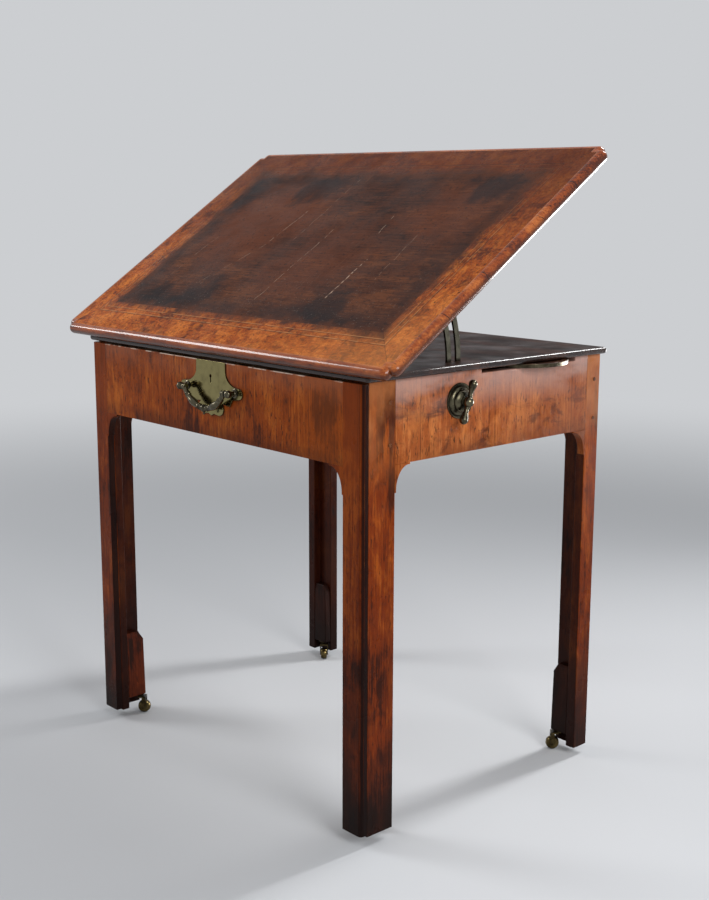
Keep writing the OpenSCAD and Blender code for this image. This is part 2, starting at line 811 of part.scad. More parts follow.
module drawer_side(side) {
    y0 = front_y + front_inner_t;
    color(oak) place() side_of(side) difference() {
        block([drawer_half - drawer_side_t, y0, drawer_z], [drawer_half, drawer_y1, drawer_z + drawer_side_h]);
        block([drawer_half - drawer_side_t - 1, y0 - 1, bottom_z - fit],
            [drawer_half - drawer_side_t + groove_deep + fit, drawer_y1 + 1, bottom_z + drawer_bottom_t + fit]);
    }
}

bottom_z = drawer_z + 8;

module drawer_back() {
    x = drawer_half - drawer_side_t;
    color(oak) place()
        block([-x, drawer_y1 - drawer_back_t, bottom_z + drawer_bottom_t],
            [x, drawer_y1, drawer_z + drawer_side_h - 4]);
}

module drawer_bottom() {
    x = drawer_half - drawer_side_t + groove_deep;
    color(oak) place()
        block([-x, front_y + front_inner_t, bottom_z], [x, drawer_y1, bottom_z + drawer_bottom_t]);
}

// Hollow lock case let into the drawer front from behind, with a slot for the bolt.
module lock_case() {
    z0 = front_inner_top - lock_h;
    color(brass) place() difference() {
        block([-lock_w / 2, lock_y, z0], [lock_w / 2, lock_y + lock_d, front_inner_top]);
        block([-lock_w / 2 + lock_wall, lock_y + lock_wall, z0 + lock_wall],
            [lock_w / 2 - lock_wall, lock_y + lock_d - lock_wall, front_inner_top - lock_wall]);
        block([-bolt_w / 2 - bolt_clear, lock_mid_y - bolt_d / 2 - bolt_clear, front_inner_top - 2 * lock_wall],
            [bolt_w / 2 + bolt_clear, lock_mid_y + bolt_d / 2 + bolt_clear, front_inner_top + 1]);
        keyhole(lock_y - 1, lock_y + lock_wall + 0.1);
    }
}

module lock_bolt() {
    color(brass) place()
        block([-bolt_w / 2, lock_mid_y - bolt_d / 2, front_inner_top - bolt_h],
            [bolt_w / 2, lock_mid_y + bolt_d / 2, front_inner_top]);
}

// One half of the lock plate's outline, from its top middle round to its bottom middle.
plate_half = concat(
    [[0, front_top], [plate_top_half, front_top], [plate_top_half, carcass_h - 18]],
    [for (i = [1:8]) let (a = 90 * i / 8)
        [plate_top_half + (plate_tip_half - 12 - plate_top_half) * (1 - cos(a)),
            carcass_h - 18 - (carcass_h - 18 - plate_tip_z - 7) * sin(a)]],
    [for (i = [0:6]) let (a = 80 - 160 * i / 6)
        [plate_tip_half - 9 + 9 * cos(a), plate_tip_z - 2 + 9 * sin(a)]],
    [[plate_tip_half - 28, plate_tip_z - 14], [plate_tip_half - 36, plate_tip_z - 26]],
    [for (i = [0:5]) let (a = 60 - 30 * i) [22 + 14 * cos(a), plate_tip_z - 34 + 12 * sin(a)]],
    [[8, plate_tip_z - 44], [0, plate_tip_z - 48]]);

module lock_plate() {
    outline = concat(plate_half, [for (i = [len(plate_half) - 2:-1:1]) [-plate_half[i][0], plate_half[i][1]]]);
    color(brass) place() difference() {
        translate([0, slab_y, 0]) rotate([90, 0, 0]) linear_extrude(plate_t) polygon(outline);
        keyhole(slab_y - plate_t - 1, slab_y + 1);
        for (side = [-1, 1])
            rod_y(slab_y - plate_t - 1, slab_y + 1, side * post_x, post_z, post_stem_r + fit);
    }
}

// Posts with ball heads, drilled across for the bail, and nuts behind the drawer front.
module handle_posts() {
    nut_y = front_y + front_inner_t;
    color(brass) place() for (side = [-1, 1]) difference() {
        union() {
            rod_y(slab_y - plate_t - 1.5, slab_y - plate_t, side * post_x, post_z, 8);
            rod_y(bail_y, slab_y - plate_t, side * post_x, post_z, 4.5);
            translate([side * post_x, bail_y, post_z]) rotate([90, 0, 0]) sphere(r = post_ball_r);
            rod_y(slab_y - plate_t - 0.5, nut_y + 4.5, side * post_x, post_z, post_stem_r);
            rod_y(nut_y, nut_y + 4, side * post_x, post_z, 6.5);
        }
        rod_x(side * post_x - 10, side * post_x + 10, bail_y, post_z, bail_pin_r + fit);
    }
}

// Bail that hangs from the posts: a round bar bent to an arc, with a turned middle.
module drop_handle() {
    arc_x = post_x - post_ball_r - bail_r - 0.5;
    arc_r = (arc_x * arc_x + bail_drop * bail_drop) / (2 * bail_drop);
    arc_half = asin(arc_x / arc_r);
    color(brass) place() translate([0, bail_y, post_z]) {
        for (side = [-1, 1]) {
            rod_x(min(side * arc_x, side * (post_x + post_ball_r)),
                max(side * arc_x, side * (post_x + post_ball_r)), 0, 0, bail_pin_r);
            rod_x(side * arc_x - bail_r - 0.5, side * arc_x + bail_r + 0.5, 0, 0, bail_r + 1.5);
        }
        translate([0, 0, arc_r - bail_drop]) rotate([90, 0, 0]) rotate([0, 0, -90 - arc_half])
            rotate_extrude(angle = 2 * arc_half, $fn = 96) translate([arc_r, 0]) rotate(15)
                circle(r = bail_r, $fn = 12);
        translate([0, 0, -bail_drop]) rotate([0, 90, 0]) sphere(r = bail_r + 2.4);
    }
}

module caster_plates() {
    half = 4.5;
    color(brass) place() for (c = [0:3]) side_of(corner_side(c))
        translate([caster_x(c), caster_y(c), block_bottom - plate_brass_t]) difference() {
            translate([-half, -half, 0]) cube([4 * half, 2 * half, plate_brass_t]);
            translate([0, 0, -1]) cylinder(r = stem_r + fit, h = plate_brass_t + 2, $fn = 32);
        }
}

// One caster's frame: the wheel trails inwards along +x here, then is turned to its corner.
module caster_frame(c) {
    side_of(corner_side(c)) translate([caster_x(c), caster_y(c), 0])
        rotate([0, 0, 180 + 45 * corner_back(c)]) children();
}

module caster_fork(c) {
    color(brass) place() caster_frame(c) {
        cylinder_at(crown_z, crown_top, 6.5);
        cylinder_at(crown_z + 1, block_bottom + stem_l - 1, stem_r);
        difference() {
            union() {
                block([-3, -fork_half - fork_wall, crown_z], [caster_trail + 4, fork_half + fork_wall,
                    crown_z + fork_crown_t - 1]);
                for (side = [-1, 1]) {
                    y0 = side > 0 ? fork_half : -fork_half - fork_wall;
                    block([caster_trail - 4, y0, wheel_z], [caster_trail + 4, y0 + fork_wall, crown_z + 1]);
                    rod_y(y0, y0 + fork_wall, caster_trail, wheel_z, 4);
                }
            }
            rod_y(-20, 20, caster_trail, wheel_z, axle_r + fit);
        }
    }
}

module cylinder_at(z0, z1, r) {
    translate([0, 0, z0]) cylinder(r = r, h = z1 - z0, $fn = 32);
}

module caster_axle(c) {
    color(brass) place() caster_frame(c)
        rod_y(-fork_half - fork_wall, fork_half + fork_wall, caster_trail, wheel_z, axle_r);
}

// Barrel wheel, round like a ball and flat at its sides.
module caster_wheel(c) {
    color(brass) place() caster_frame(c) difference() {
        intersection() {
            translate([caster_trail, 0, wheel_z]) rotate([90, 0, 0]) sphere(r = wheel_r, $fn = 96);
            block([-wheel_r * 2, -wheel_w / 2, wheel_z - wheel_r - 1],
                [wheel_r * 4, wheel_w / 2, wheel_z + wheel_r + 1]);
        }
        rod_y(-wheel_w, wheel_w, caster_trail, wheel_z, axle_r + fit);
    }
}

front_leg(-1);  // front_leg_left
front_leg(1);  // front_leg_right
rear_leg(-1);  // rear_leg_left
rear_leg(1);  // rear_leg_right
foot_blocks();
side_rail_left();
side_rail_right();
rear_rail();
top_front_rail();
lower_front_rail();
rail_brackets();
tenon_pegs();
drawer_runners();
drawer_kickers();
lower_leaf();
hinge_plates_lower();
hinge_plates_upper();
hinge_pins();
upper_leaf();
crossbanding_outer();
crossbanding_inner();
leaf_panel();
quadrant_stay();
clamp_wear_plate();
clamp_bolt();
clamp_rosette();
clamp_handle();
candle_tray();
candle_tray_rim();
candle_pivot();
drawer_front();
sliding_leg(-1);  // sliding_leg_left
sliding_leg(1);  // sliding_leg_right
sliding_brackets();
drawer_side(-1);  // drawer_side_left
drawer_side(1);  // drawer_side_right
drawer_back();
drawer_bottom();
lock_case();
lock_bolt();
lock_plate();
handle_posts();
drop_handle();
caster_plates();
for (c = [0:3]) {
    caster_fork(c);
    caster_axle(c);
    caster_wheel(c);
}
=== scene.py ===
import math

import bpy
from mathutils import Matrix, Vector


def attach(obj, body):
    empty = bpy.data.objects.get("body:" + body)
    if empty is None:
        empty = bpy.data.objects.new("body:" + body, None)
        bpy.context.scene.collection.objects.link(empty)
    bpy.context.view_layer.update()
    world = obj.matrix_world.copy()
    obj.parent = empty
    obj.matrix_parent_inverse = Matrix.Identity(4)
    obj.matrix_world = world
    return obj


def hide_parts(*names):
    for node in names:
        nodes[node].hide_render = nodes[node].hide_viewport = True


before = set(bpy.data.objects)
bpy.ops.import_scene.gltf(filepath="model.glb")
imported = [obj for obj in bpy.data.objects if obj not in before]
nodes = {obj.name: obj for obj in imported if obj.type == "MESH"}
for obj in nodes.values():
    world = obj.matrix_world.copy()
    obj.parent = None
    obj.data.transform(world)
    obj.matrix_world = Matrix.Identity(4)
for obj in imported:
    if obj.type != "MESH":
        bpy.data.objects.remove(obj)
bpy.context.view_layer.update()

# Camera. It stands off the front right corner, a little above the raised leaf, as it did in
# the photograph. Place, turn and lens were fitted to the table's edges there.
camera_turn = Matrix.Rotation(math.radians(47.82), 3, "Z")
camera_turn = camera_turn @ Matrix.Rotation(math.radians(78.94), 3, "X")
camera_turn = camera_turn @ Matrix.Rotation(math.radians(0.16), 3, "Z")
bpy.ops.object.camera_add(location=(1.8811, -1.6510, 1.0627), rotation=camera_turn.to_euler())
camera = bpy.context.object
camera.name = "camera"
camera.data.sensor_width = 36
camera.data.lens = 53.448
camera.data.clip_end = 100
bpy.context.scene.camera = camera
bpy.context.scene.view_settings.view_transform = "Standard"


# Stage. A wide pale studio floor that fades, far out, into a background of the same grey.
# Camera, mirror and glass rays see that grey, and the table gets a softer light from it.
def paint(red, green, blue):
    """A colour as a painter reads it, from 0 to 255, in the values that a shader wants."""
    made = []
    for value in (red, green, blue):
        share = value / 255
        made.append(share / 12.92 if share <= 0.04045 else ((share + 0.055) / 1.055) ** 2.4)
    return (*made, 1.0)


def add(tree, kind, inputs=(), **settings):
    """One shader node, with its settings, its values and the sockets that feed it."""
    made = tree.nodes.new("ShaderNode" + kind)
    for key, value in settings.items():
        setattr(made, key, value)
    for key, value in inputs:
        if isinstance(value, bpy.types.NodeSocket):
            tree.links.new(value, made.inputs[key])
        else:
            made.inputs[key].default_value = value
    return made


def calc(tree, operation, first, second=0.0):
    """The result of a sum on one or two values."""
    made = add(tree, "Math", [(0, first), (1, second)], operation=operation)
    return made.outputs[0]


def spread(tree, value, low, high, to_low=0.0, to_high=1.0):
    """A value that runs smoothly from to_low to to_high while another goes from low to high."""
    made = add(tree, "MapRange", [("Value", value), ("From Min", low), ("From Max", high),
                                  ("To Min", to_low), ("To Max", to_high)],
               interpolation_type="SMOOTHSTEP")
    return made.outputs["Result"]


def mix(tree, share, first, second, how="MIX"):
    """Two colours, mixed by a share."""
    made = add(tree, "Mix", [(0, share), (6, first), (7, second)], data_type="RGBA", blend_type=how)
    return made.outputs[2]


backdrop_grey = paint(204, 206, 209)
fade_from = 1.3
fade_to = 4.6
bpy.ops.mesh.primitive_circle_add(vertices=64, radius=30, fill_type="NGON")
floor = bpy.context.object
floor.name = "floor"
floor_paint = bpy.data.materials.new("floor paint")
floor_paint.use_nodes = True
tree = floor_paint.node_tree
place = add(tree, "TexCoord").outputs["Object"]
away = add(tree, "VectorMath", [(0, place)], operation="LENGTH").outputs["Value"]
shader = tree.nodes["Principled BSDF"]
shader.inputs["Base Color"].default_value = backdrop_grey
shader.inputs["Roughness"].default_value = 0.7
shader.inputs["Specular IOR Level"].default_value = 0.2
glow = add(tree, "Emission", [("Color", backdrop_grey)])
both = add(tree, "MixShader",
           [(0, spread(tree, away, fade_from, fade_to)), (1, shader.outputs[0]), (2, glow.outputs[0])])
tree.links.new(both.outputs[0], tree.nodes["Material Output"].inputs["Surface"])
floor.data.materials.append(floor_paint)

world = bpy.data.worlds.new("world")
world.use_nodes = True
bpy.context.scene.world = world
tree = world.node_tree
ray = add(tree, "LightPath").outputs
mirrored = calc(tree, "MAXIMUM", ray["Is Glossy Ray"], ray["Is Transmission Ray"])
seen = calc(tree, "MAXIMUM", ray["Is Camera Ray"], mirrored)
tree.nodes["Background"].inputs["Color"].default_value = backdrop_grey
tree.links.new(spread(tree, seen, 0, 1, to_low=0.55), tree.nodes["Background"].inputs["Strength"])


# Lamps. A large soft one on the right lights the table's right side and the leaf, and one
# on the left its front. Two behind draw the bright lines along the leaves' right edges.
def lamp(name, place, aim, width, height, power, beam=180):
    """A soft lamp of a size in metres and a beam in degrees, which points at a place."""
    bpy.ops.object.light_add(type="AREA", location=place)
    made = bpy.context.object
    made.name = name
    made.data.shape = "RECTANGLE"
    made.data.size = width
    made.data.size_y = height
    made.data.energy = power
    made.rotation_euler = (Vector(aim) - Vector(place)).to_track_quat("-Z", "Y").to_euler()
    made.data.spread = math.radians(beam)
    made.visible_camera = False
    return made


lamp("right_lamp", (3.1, -0.5, 2.0), (0.2, 0, 0.7), width=1.4, height=1.4, power=54)
lamp("left_lamp", (-2.5, -1.7, 2.05), (0, -0.2, 0.75), width=1.1, height=1.0, power=40)
lamp("low_back_lamp", (0.50, 2.35, 0.45), (0.47, 0, 0.95), width=1.3, height=0.8, power=12, beam=80)
lamp("high_back_lamp", (0.45, 2.2, 2.9), (0.38, 0, 0.78), width=0.3, height=1.4, power=16, beam=90)


# Fixed legs. Each is two mahogany boards glued in an L, with their arrises rounded by wear
# and their colour darker towards their feet.
def softened(name, node, width=0.0, steps=2, smooth=35):
    """A copy of a solid's mesh, with its long sharp edges rounded by a width. The short edges of
    a bore or a curve stay sharp."""
    shortest = 0.0018
    bpy.ops.object.select_all(action="DESELECT")
    made = bpy.data.objects.new(name, nodes[node].data.copy())
    bpy.context.scene.collection.objects.link(made)
    made.data.materials.clear()
    made.select_set(True)
    bpy.context.view_layer.objects.active = made
    bpy.ops.mesh.customdata_custom_splitnormals_clear()
    bpy.ops.object.mode_set(mode="EDIT")
    bpy.ops.mesh.select_all(action="SELECT")
    bpy.ops.mesh.remove_doubles(threshold=0.000002)
    bpy.ops.mesh.dissolve_limited(angle_limit=math.radians(0.4))
    bpy.ops.mesh.select_mode(type="EDGE")
    bpy.ops.mesh.select_all(action="DESELECT")
    bpy.ops.mesh.edges_select_sharp(sharpness=math.radians(40))
    bpy.ops.object.mode_set(mode="OBJECT")
    if width:
        for edge in made.data.edges:
            start, end = (made.data.vertices[index].co for index in edge.vertices)
            edge.select = edge.select and (end - start).length > shortest
        bpy.ops.object.mode_set(mode="EDIT")
        bpy.ops.mesh.bevel(offset=width, segments=steps, affect="EDGES", clamp_overlap=True)
        bpy.ops.object.mode_set(mode="OBJECT")
    bpy.ops.object.shade_smooth_by_angle(angle=math.radians(smooth))
    even = made.modifiers.new("even", "WEIGHTED_NORMAL")
    even.mode = "FACE_AREA"
    even.weight = 80
    even.keep_sharp = True
    bpy.ops.object.modifier_apply(modifier="even")
    return made


def dress(piece, material, body, slot, *stands_for):
    """Gives a piece its material and the body it rides on, and hides the solids it replaces. The slot it is
    given is not used.
    """
    piece.data.materials.clear()
    piece.data.materials.append(material)
    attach(piece, body)
    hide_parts(*stands_for)


def finish(node, material):
    """Gives a solid that stays as it is its material."""
    for slot in nodes[node].material_slots:
        slot.material = material


def group(name, inputs, outputs):
    """A shader node group, with its named inputs and outputs."""
    tree = bpy.data.node_groups.new(name, "ShaderNodeTree")
    for label, kind, value in inputs:
        socket = tree.interface.new_socket(label, in_out="INPUT", socket_type="NodeSocket" + kind)
        if value is not None:
            socket.default_value = value
    for label, kind in outputs:
        tree.interface.new_socket(label, in_out="OUTPUT", socket_type="NodeSocket" + kind)
    return tree, tree.nodes.new("NodeGroupInput").outputs, tree.nodes.new("NodeGroupOutput").inputs


def use(tree, inner, **values):
    """A group placed in a material, with its values."""
    made = add(tree, "Group", node_tree=inner)
    for key, value in values.items():
        if isinstance(value, bpy.types.NodeSocket):
            tree.links.new(value, made.inputs[key])
        else:
            made.inputs[key].default_value = value
    return made.outputs


def noise(tree, place, scale, detail=3.0, rough=0.55, bend=0.0):
    """Cloudy noise on a place that is stretched by three scales."""
    stretched = add(tree, "Mapping", [("Vector", place), ("Scale", scale)])
    made = add(tree, "TexNoise", [("Vector", stretched.outputs[0]), ("Scale", 1.0), ("Detail", detail),
                                  ("Roughness", rough), ("Distortion", bend)])
    return made.outputs["Fac"]


def strayed(tree, value, cloud, reach):
    """A value that strays to both sides with a cloud, by a reach."""
    off = calc(tree, "MULTIPLY", calc(tree, "SUBTRACT", cloud, 0.5), reach)
    return calc(tree, "ADD", value, off)


# Mahogany's figure along the Z of the place it is given: ribbons, fine lines, pores, flecks.
figure, given, result = group(
    "mahogany figure",
    [("Vector", "Vector", None), ("Dark", "Color", paint(60, 28, 16)),
     ("Middle", "Color", paint(110, 54, 27)), ("Light", "Color", paint(150, 82, 42)),
     ("Flecks", "Float", 1.0), ("Ribbon", "Float", 1.0)],
    [("Color", "Color"), ("Height", "Float")])
ribbon = noise(figure, given["Vector"], (26, 26, 3.2), detail=5.0, rough=0.62, bend=0.6)
lines = noise(figure, given["Vector"], (290, 290, 11), detail=4.0, rough=0.62)
pores = spread(figure, noise(figure, given["Vector"], (900, 900, 60), detail=2.0), 0.55, 0.68)
patches = noise(figure, given["Vector"], (9, 9, 5), detail=4.0, rough=0.62, bend=0.4)
flecks = spread(figure, noise(figure, given["Vector"], (260, 260, 60), detail=3.0, rough=0.6, bend=0.4),
                0.57, 0.68)
smudges = noise(figure, given["Vector"], (34, 34, 17), detail=5.0, rough=0.68, bend=0.8)
tone = calc(figure, "MULTIPLY", calc(figure, "SUBTRACT", ribbon, 0.5), given["Ribbon"])
for cloud, share in ((lines, 0.62), (patches, 0.9), (smudges, 0.65)):
    tone = strayed(figure, tone, cloud, share)
colour = mix(figure, spread(figure, tone, -0.20, 0.0), given["Dark"], given["Middle"])
colour = mix(figure, spread(figure, tone, 0.0, 0.24), colour, given["Light"])
colour = mix(figure, calc(figure, "MULTIPLY", pores, 0.4), colour, (0.012, 0.004, 0.002, 1))
fleck_share = calc(figure, "MULTIPLY", calc(figure, "MULTIPLY", flecks, 0.6), given["Flecks"])
colour = mix(figure, fleck_share, colour, (0.014, 0.005, 0.003, 1))
height = calc(figure, "SUBTRACT", calc(figure, "MULTIPLY", lines, 0.5),
              calc(figure, "MULTIPLY", pores, 0.7))
figure.links.new(colour, result["Color"])
figure.links.new(height, result["Height"])

# Wear along arrises: how far a point's rounded normal leans from its own, broken by rubs.
wear, given, result = group(
    "arris wear", [("Vector", "Vector", None), ("Width", "Float", 0.003), ("Rub", "Float", 0.5)],
    [("Mask", "Float")])
rounded = add(wear, "Bevel", [("Radius", given["Width"])], samples=6).outputs[0]
own = add(wear, "NewGeometry").outputs["Normal"]
lean = add(wear, "VectorMath", [(0, rounded), (1, own)], operation="DOT_PRODUCT").outputs["Value"]
arris = spread(wear, lean, 0.995, 0.86)
rubs = spread(wear, noise(wear, given["Vector"], (30, 30, 30), detail=4.0),
              calc(wear, "SUBTRACT", 0.72, calc(wear, "MULTIPLY", given["Rub"], 0.4)),
              calc(wear, "SUBTRACT", 0.92, calc(wear, "MULTIPLY", given["Rub"], 0.4)))
wear.links.new(calc(wear, "MULTIPLY", arris, rubs), result["Mask"])

# Knocks of long use: broad waves in the board and small dents, as a height.
knocks, given, result = group("knocks", [("Vector", "Vector", None)], [("Height", "Float")])
waves = noise(knocks, given["Vector"], (10, 10, 7), detail=2.0)
dents = spread(knocks, noise(knocks, given["Vector"], (75, 75, 55), detail=1.0), 0.24, 0.38)
knocks.links.new(calc(knocks, "ADD", waves, calc(knocks, "MULTIPLY", dents, 0.25)), result["Height"])


def wood(name, dark, middle, light, grain="Z", shine=0.07, gloss=0.30, flecks=1.0, ribbon=0.6,
         worn=paint(190, 104, 46), rub=0.5):
    """Waxed mahogany with its figure along an axis. Gives the material, its tree and its place,
    so that more can be laid over its colour."""
    made = bpy.data.materials.new(name)
    made.use_nodes = True
    tree = made.node_tree
    shader = tree.nodes["Principled BSDF"]
    place = add(tree, "TexCoord").outputs["Object"]
    axes = add(tree, "SeparateXYZ", [(0, place)]).outputs
    turned_to = {"Z": ("X", "Y", "Z"), "X": ("Y", "Z", "X"), "Y": ("Z", "X", "Y")}[grain]
    along = add(tree, "CombineXYZ",
                [(0, axes[turned_to[0]]), (1, axes[turned_to[1]]), (2, axes[turned_to[2]])])
    grown = use(tree, figure, Vector=along.outputs[0], Dark=dark, Middle=middle, Light=light,
                Flecks=flecks, Ribbon=ribbon)
    rubbed = use(tree, wear, Vector=place, Rub=rub)
    colour = mix(tree, calc(tree, "MULTIPLY", rubbed["Mask"], 0.6), grown["Color"], worn)
    clouds = noise(tree, place, (12, 12, 12), detail=4.0)
    tree.links.new(spread(tree, clouds, 0.3, 0.7, to_low=gloss - 0.07, to_high=gloss + 0.14),
                   shader.inputs["Roughness"])
    broad = add(tree, "Bump", [("Strength", 0.45), ("Distance", 0.0012),
                               ("Height", use(tree, knocks, Vector=place)["Height"])])
    fine = add(tree, "Bump", [("Strength", 0.3), ("Distance", 0.00025), ("Height", grown["Height"]),
                              ("Normal", broad.outputs[0])])
    tree.links.new(fine.outputs[0], shader.inputs["Normal"])
    shader.inputs["Specular IOR Level"].default_value = shine
    shader.inputs["Coat Weight"].default_value = 0.03
    shader.inputs["Coat Roughness"].default_value = 0.14
    tree.links.new(colour, shader.inputs["Base Color"])
    return made, tree, place


def lay(tree, colour, mask, share=1.0):
    """Lays a colour over a material's colour so far, by a share of a mask."""
    if share != 1.0:
        mask = calc(tree, "MULTIPLY", mask, share)
    base = tree.nodes["Principled BSDF"].inputs["Base Color"]
    tree.links.new(mix(tree, mask, base.links[0].from_socket, colour), base)


def veil(tree, place, low, high, scale=(13, 13, 8), soft=(0.3, 0.6)):
    """A cloudy mask that comes in over a range of heights."""
    height = add(tree, "SeparateXYZ", [(0, place)]).outputs["Z"]
    return calc(tree, "MULTIPLY", spread(tree, height, low, high),
                spread(tree, noise(tree, place, scale, detail=4.0), soft[0], soft[1]))


def inner_side(tree, place):
    """A mask of the faces that look in towards the middle of the table, where painted shade goes."""
    flat = add(tree, "VectorMath", [(0, place), (1, (1, 1, 0))], operation="MULTIPLY").outputs[0]
    normal = add(tree, "NewGeometry").outputs["Normal"]
    facing = add(tree, "VectorMath", [(0, flat), (1, normal)], operation="DOT_PRODUCT").outputs["Value"]
    return spread(tree, facing, -0.06, -0.22)


leg_wood, tree, place = wood("leg mahogany", paint(58, 21, 6), paint(120, 46, 7), paint(158, 76, 20))
lay(tree, paint(44, 18, 10), veil(tree, place, 0.52, 0.02), share=0.85)
streaks = veil(tree, place, 0.40, 0.60, scale=(55, 55, 9), soft=(0.51, 0.62))
lay(tree, paint(46, 19, 8), streaks, share=0.75)
foot = veil(tree, place, 0.17, 0.03, soft=(0.05, 0.30))
lay(tree, paint(20, 11, 8), foot, share=0.88)
# Painted light: the legs are paler towards their tops.
lay(tree, paint(180, 110, 62), veil(tree, place, 0.58, 0.72), share=0.8)
# Painted shade: faces that look in under the table are darker.
lay(tree, paint(30, 12, 8), inner_side(tree, place), share=0.8)
for node in ("front_leg_left", "front_leg_right", "rear_leg_left", "rear_leg_right"):
    dress(softened("board_" + node, node, width=0.0016, steps=3), leg_wood, "carcass", "leg_mahogany", node)

# Corner blocks. Short blocks glued into the foot of each leg, which carry the casters. Their
# edges are worn well round, and their tops slope back to the leg.
block_wood, tree, place = wood("block mahogany", paint(40, 16, 8), paint(88, 34, 14), paint(116, 52, 22),
                               gloss=0.42, rub=0.7, worn=paint(140, 70, 34))
lay(tree, paint(24, 12, 9), veil(tree, place, 0.14, 0.03), share=0.8)
# Painted shade: the rear blocks, under the back of the table, are darker.
back = add(tree, "SeparateXYZ", [(0, place)]).outputs["Y"]
lay(tree, paint(16, 8, 6), spread(tree, back, 0.0, 0.2, to_high=0.85))
blocks = softened("corner_blocks", "foot_blocks", width=0.004, steps=4)
shoulder = 0.157
slope = 0.007
outer_corners = ((-0.370, -0.254), (0.370, -0.254), (-0.370, 0.282), (0.370, 0.282))
bpy.ops.object.mode_set(mode="EDIT")
bpy.ops.mesh.select_all(action="SELECT")
bpy.ops.mesh.bisect(plane_co=(0, 0, shoulder), plane_no=(0, 0, 1))
bpy.ops.object.mode_set(mode="OBJECT")
for side, depth in outer_corners:
    for above, share in ((shoulder - slope, 0.95), (shoulder + slope, 0.80)):
        for vertex in blocks.data.vertices:
            vertex.select = vertex.co.x * side > 0 and vertex.co.y * depth > 0 and vertex.co.z > above
        for parts in (blocks.data.edges, blocks.data.polygons):
            for part in parts:
                part.select = all(blocks.data.vertices[index].select for index in part.vertices)
        bpy.ops.object.mode_set(mode="EDIT")
        bpy.ops.transform.resize(value=(share, share, 1), center_override=(side, depth, shoulder))
        bpy.ops.object.mode_set(mode="OBJECT")
dress(blocks, block_wood, "carcass", "block_mahogany", "foot_blocks")


# Rails. Deep boards tenoned into the legs and faced with upright veneers, whose joints show
# as thin dark lines. Their tops are paler and greyer, partly cloudy polish and partly a painted sheen.
def line(tree, value, at, width):
    """A thin line where a value passes a place."""
    off = calc(tree, "ABSOLUTE", calc(tree, "SUBTRACT", value, at))
    return spread(tree, off, width, width * 0.4)


rail_wood, tree, place = wood("rail mahogany", paint(78, 32, 11), paint(158, 80, 32), paint(194, 114, 56),
                              flecks=1.4, ribbon=0.4)
axes = add(tree, "SeparateXYZ", [(0, place)]).outputs
veneer_joints = (-0.157, 0.224, 0.02)
for at in veneer_joints:
    lay(tree, paint(52, 26, 16), line(tree, axes["Y"], at, width=0.0011), share=0.7)
smears = spread(tree, noise(tree, place, (8, 9, 19), detail=6.0, rough=0.68, bend=1.2), 0.50, 0.66)
lay(tree, paint(58, 25, 14), smears, share=0.75)
# Painted shade: the rails darken towards the back of the table.
lay(tree, paint(112, 50, 20), spread(tree, axes["Y"], -0.08, 0.26, to_high=0.42))
lights = spread(tree, noise(tree, place, (16, 16, 11), detail=5.0, rough=0.66, bend=0.6), 0.54, 0.70)
lay(tree, paint(212, 128, 62), lights, share=0.42)
lay(tree, paint(84, 38, 16), veil(tree, place, 0.672, 0.634), share=0.5)
# Partly cloudy polish and partly a painted sheen: the rails' tops are paler and greyer.
bloom_and_sheen = veil(tree, place, 0.690, 0.766, scale=(7, 7, 16), soft=(0.28, 0.55))
lay(tree, paint(182, 150, 140), bloom_and_sheen, share=0.7)
for node in ("side_rail_left", "side_rail_right", "rear_rail"):
    dress(softened("board_" + node, node, width=0.0010), rail_wood, "carcass", "rail_mahogany", node)
dress(softened("shaped_brackets", "rail_brackets", width=0.0008, steps=2, smooth=50), rail_wood,
      "carcass", "rail_mahogany", "rail_brackets")

# Tenon pegs. Riven pegs of dry wood, driven through the legs and the tenons of the rails.
# Their domed heads stand a little proud.
peg_wood = wood("peg wood", paint(52, 26, 14), paint(92, 50, 28), paint(132, 84, 52), gloss=0.4)[0]
dress(softened("peg_heads", "tenon_pegs", width=0.0009, steps=3), peg_wood, "carcass", "peg_wood",
      "tenon_pegs")

# Inside of the carcass. The thin front rails, and the runners and kickers that the drawer
# slides between, are of dry, unpolished oak.
oak = wood("oak", paint(112, 80, 46), paint(138, 102, 60), paint(156, 120, 76), grain="Y", gloss=0.62,
           flecks=0.35, worn=paint(176, 142, 96))[0]
oak.node_tree.nodes["Principled BSDF"].inputs["Coat Weight"].default_value = 0.0
for node in ("top_front_rail", "lower_front_rail", "drawer_runners", "drawer_kickers"):
    finish(node, oak)

# Lower leaf. A thin dark board with round noses, fixed on the rails and slotted for the stay.
# Its top is painted nearly black, a painted reflection of dark surroundings, and its edge is rubbed bright.
lower_wood, tree, place = wood("lower leaf mahogany", paint(23, 13, 11), paint(41, 24, 19),
                               paint(64, 38, 29), grain="X", shine=0.03, gloss=0.38,
                               worn=paint(150, 128, 116), rub=1.0)
facing = add(tree, "SeparateXYZ", [(0, add(tree, "NewGeometry").outputs["Normal"])]).outputs["Z"]
nose_coat = spread(tree, facing, 0.985, 0.93, to_high=0.9)
tree.links.new(nose_coat, tree.nodes["Principled BSDF"].inputs["Coat Weight"])
dress(softened("lower_board", "lower_leaf"), lower_wood, "carcass", "lower_leaf_mahogany", "lower_leaf")

# Upper leaf. One board with round noses and cut-back corners, waxed bright and cracked here
# and there across its edges.
leaf_tilt = math.radians(33.8)
hinge_line = (0, -0.281, 0.7835)
leaf_half = 0.468
leaf_front = -0.013
leaf_back = 0.605


def leaf_place(tree, place):
    """A place as it lies on the leaf: X across, Y up the leaf from its hinges, Z off its face."""
    return add(tree, "Mapping",
               [("Vector", place), ("Location", hinge_line), ("Rotation", (leaf_tilt, 0, 0))],
               vector_type="TEXTURE").outputs[0]


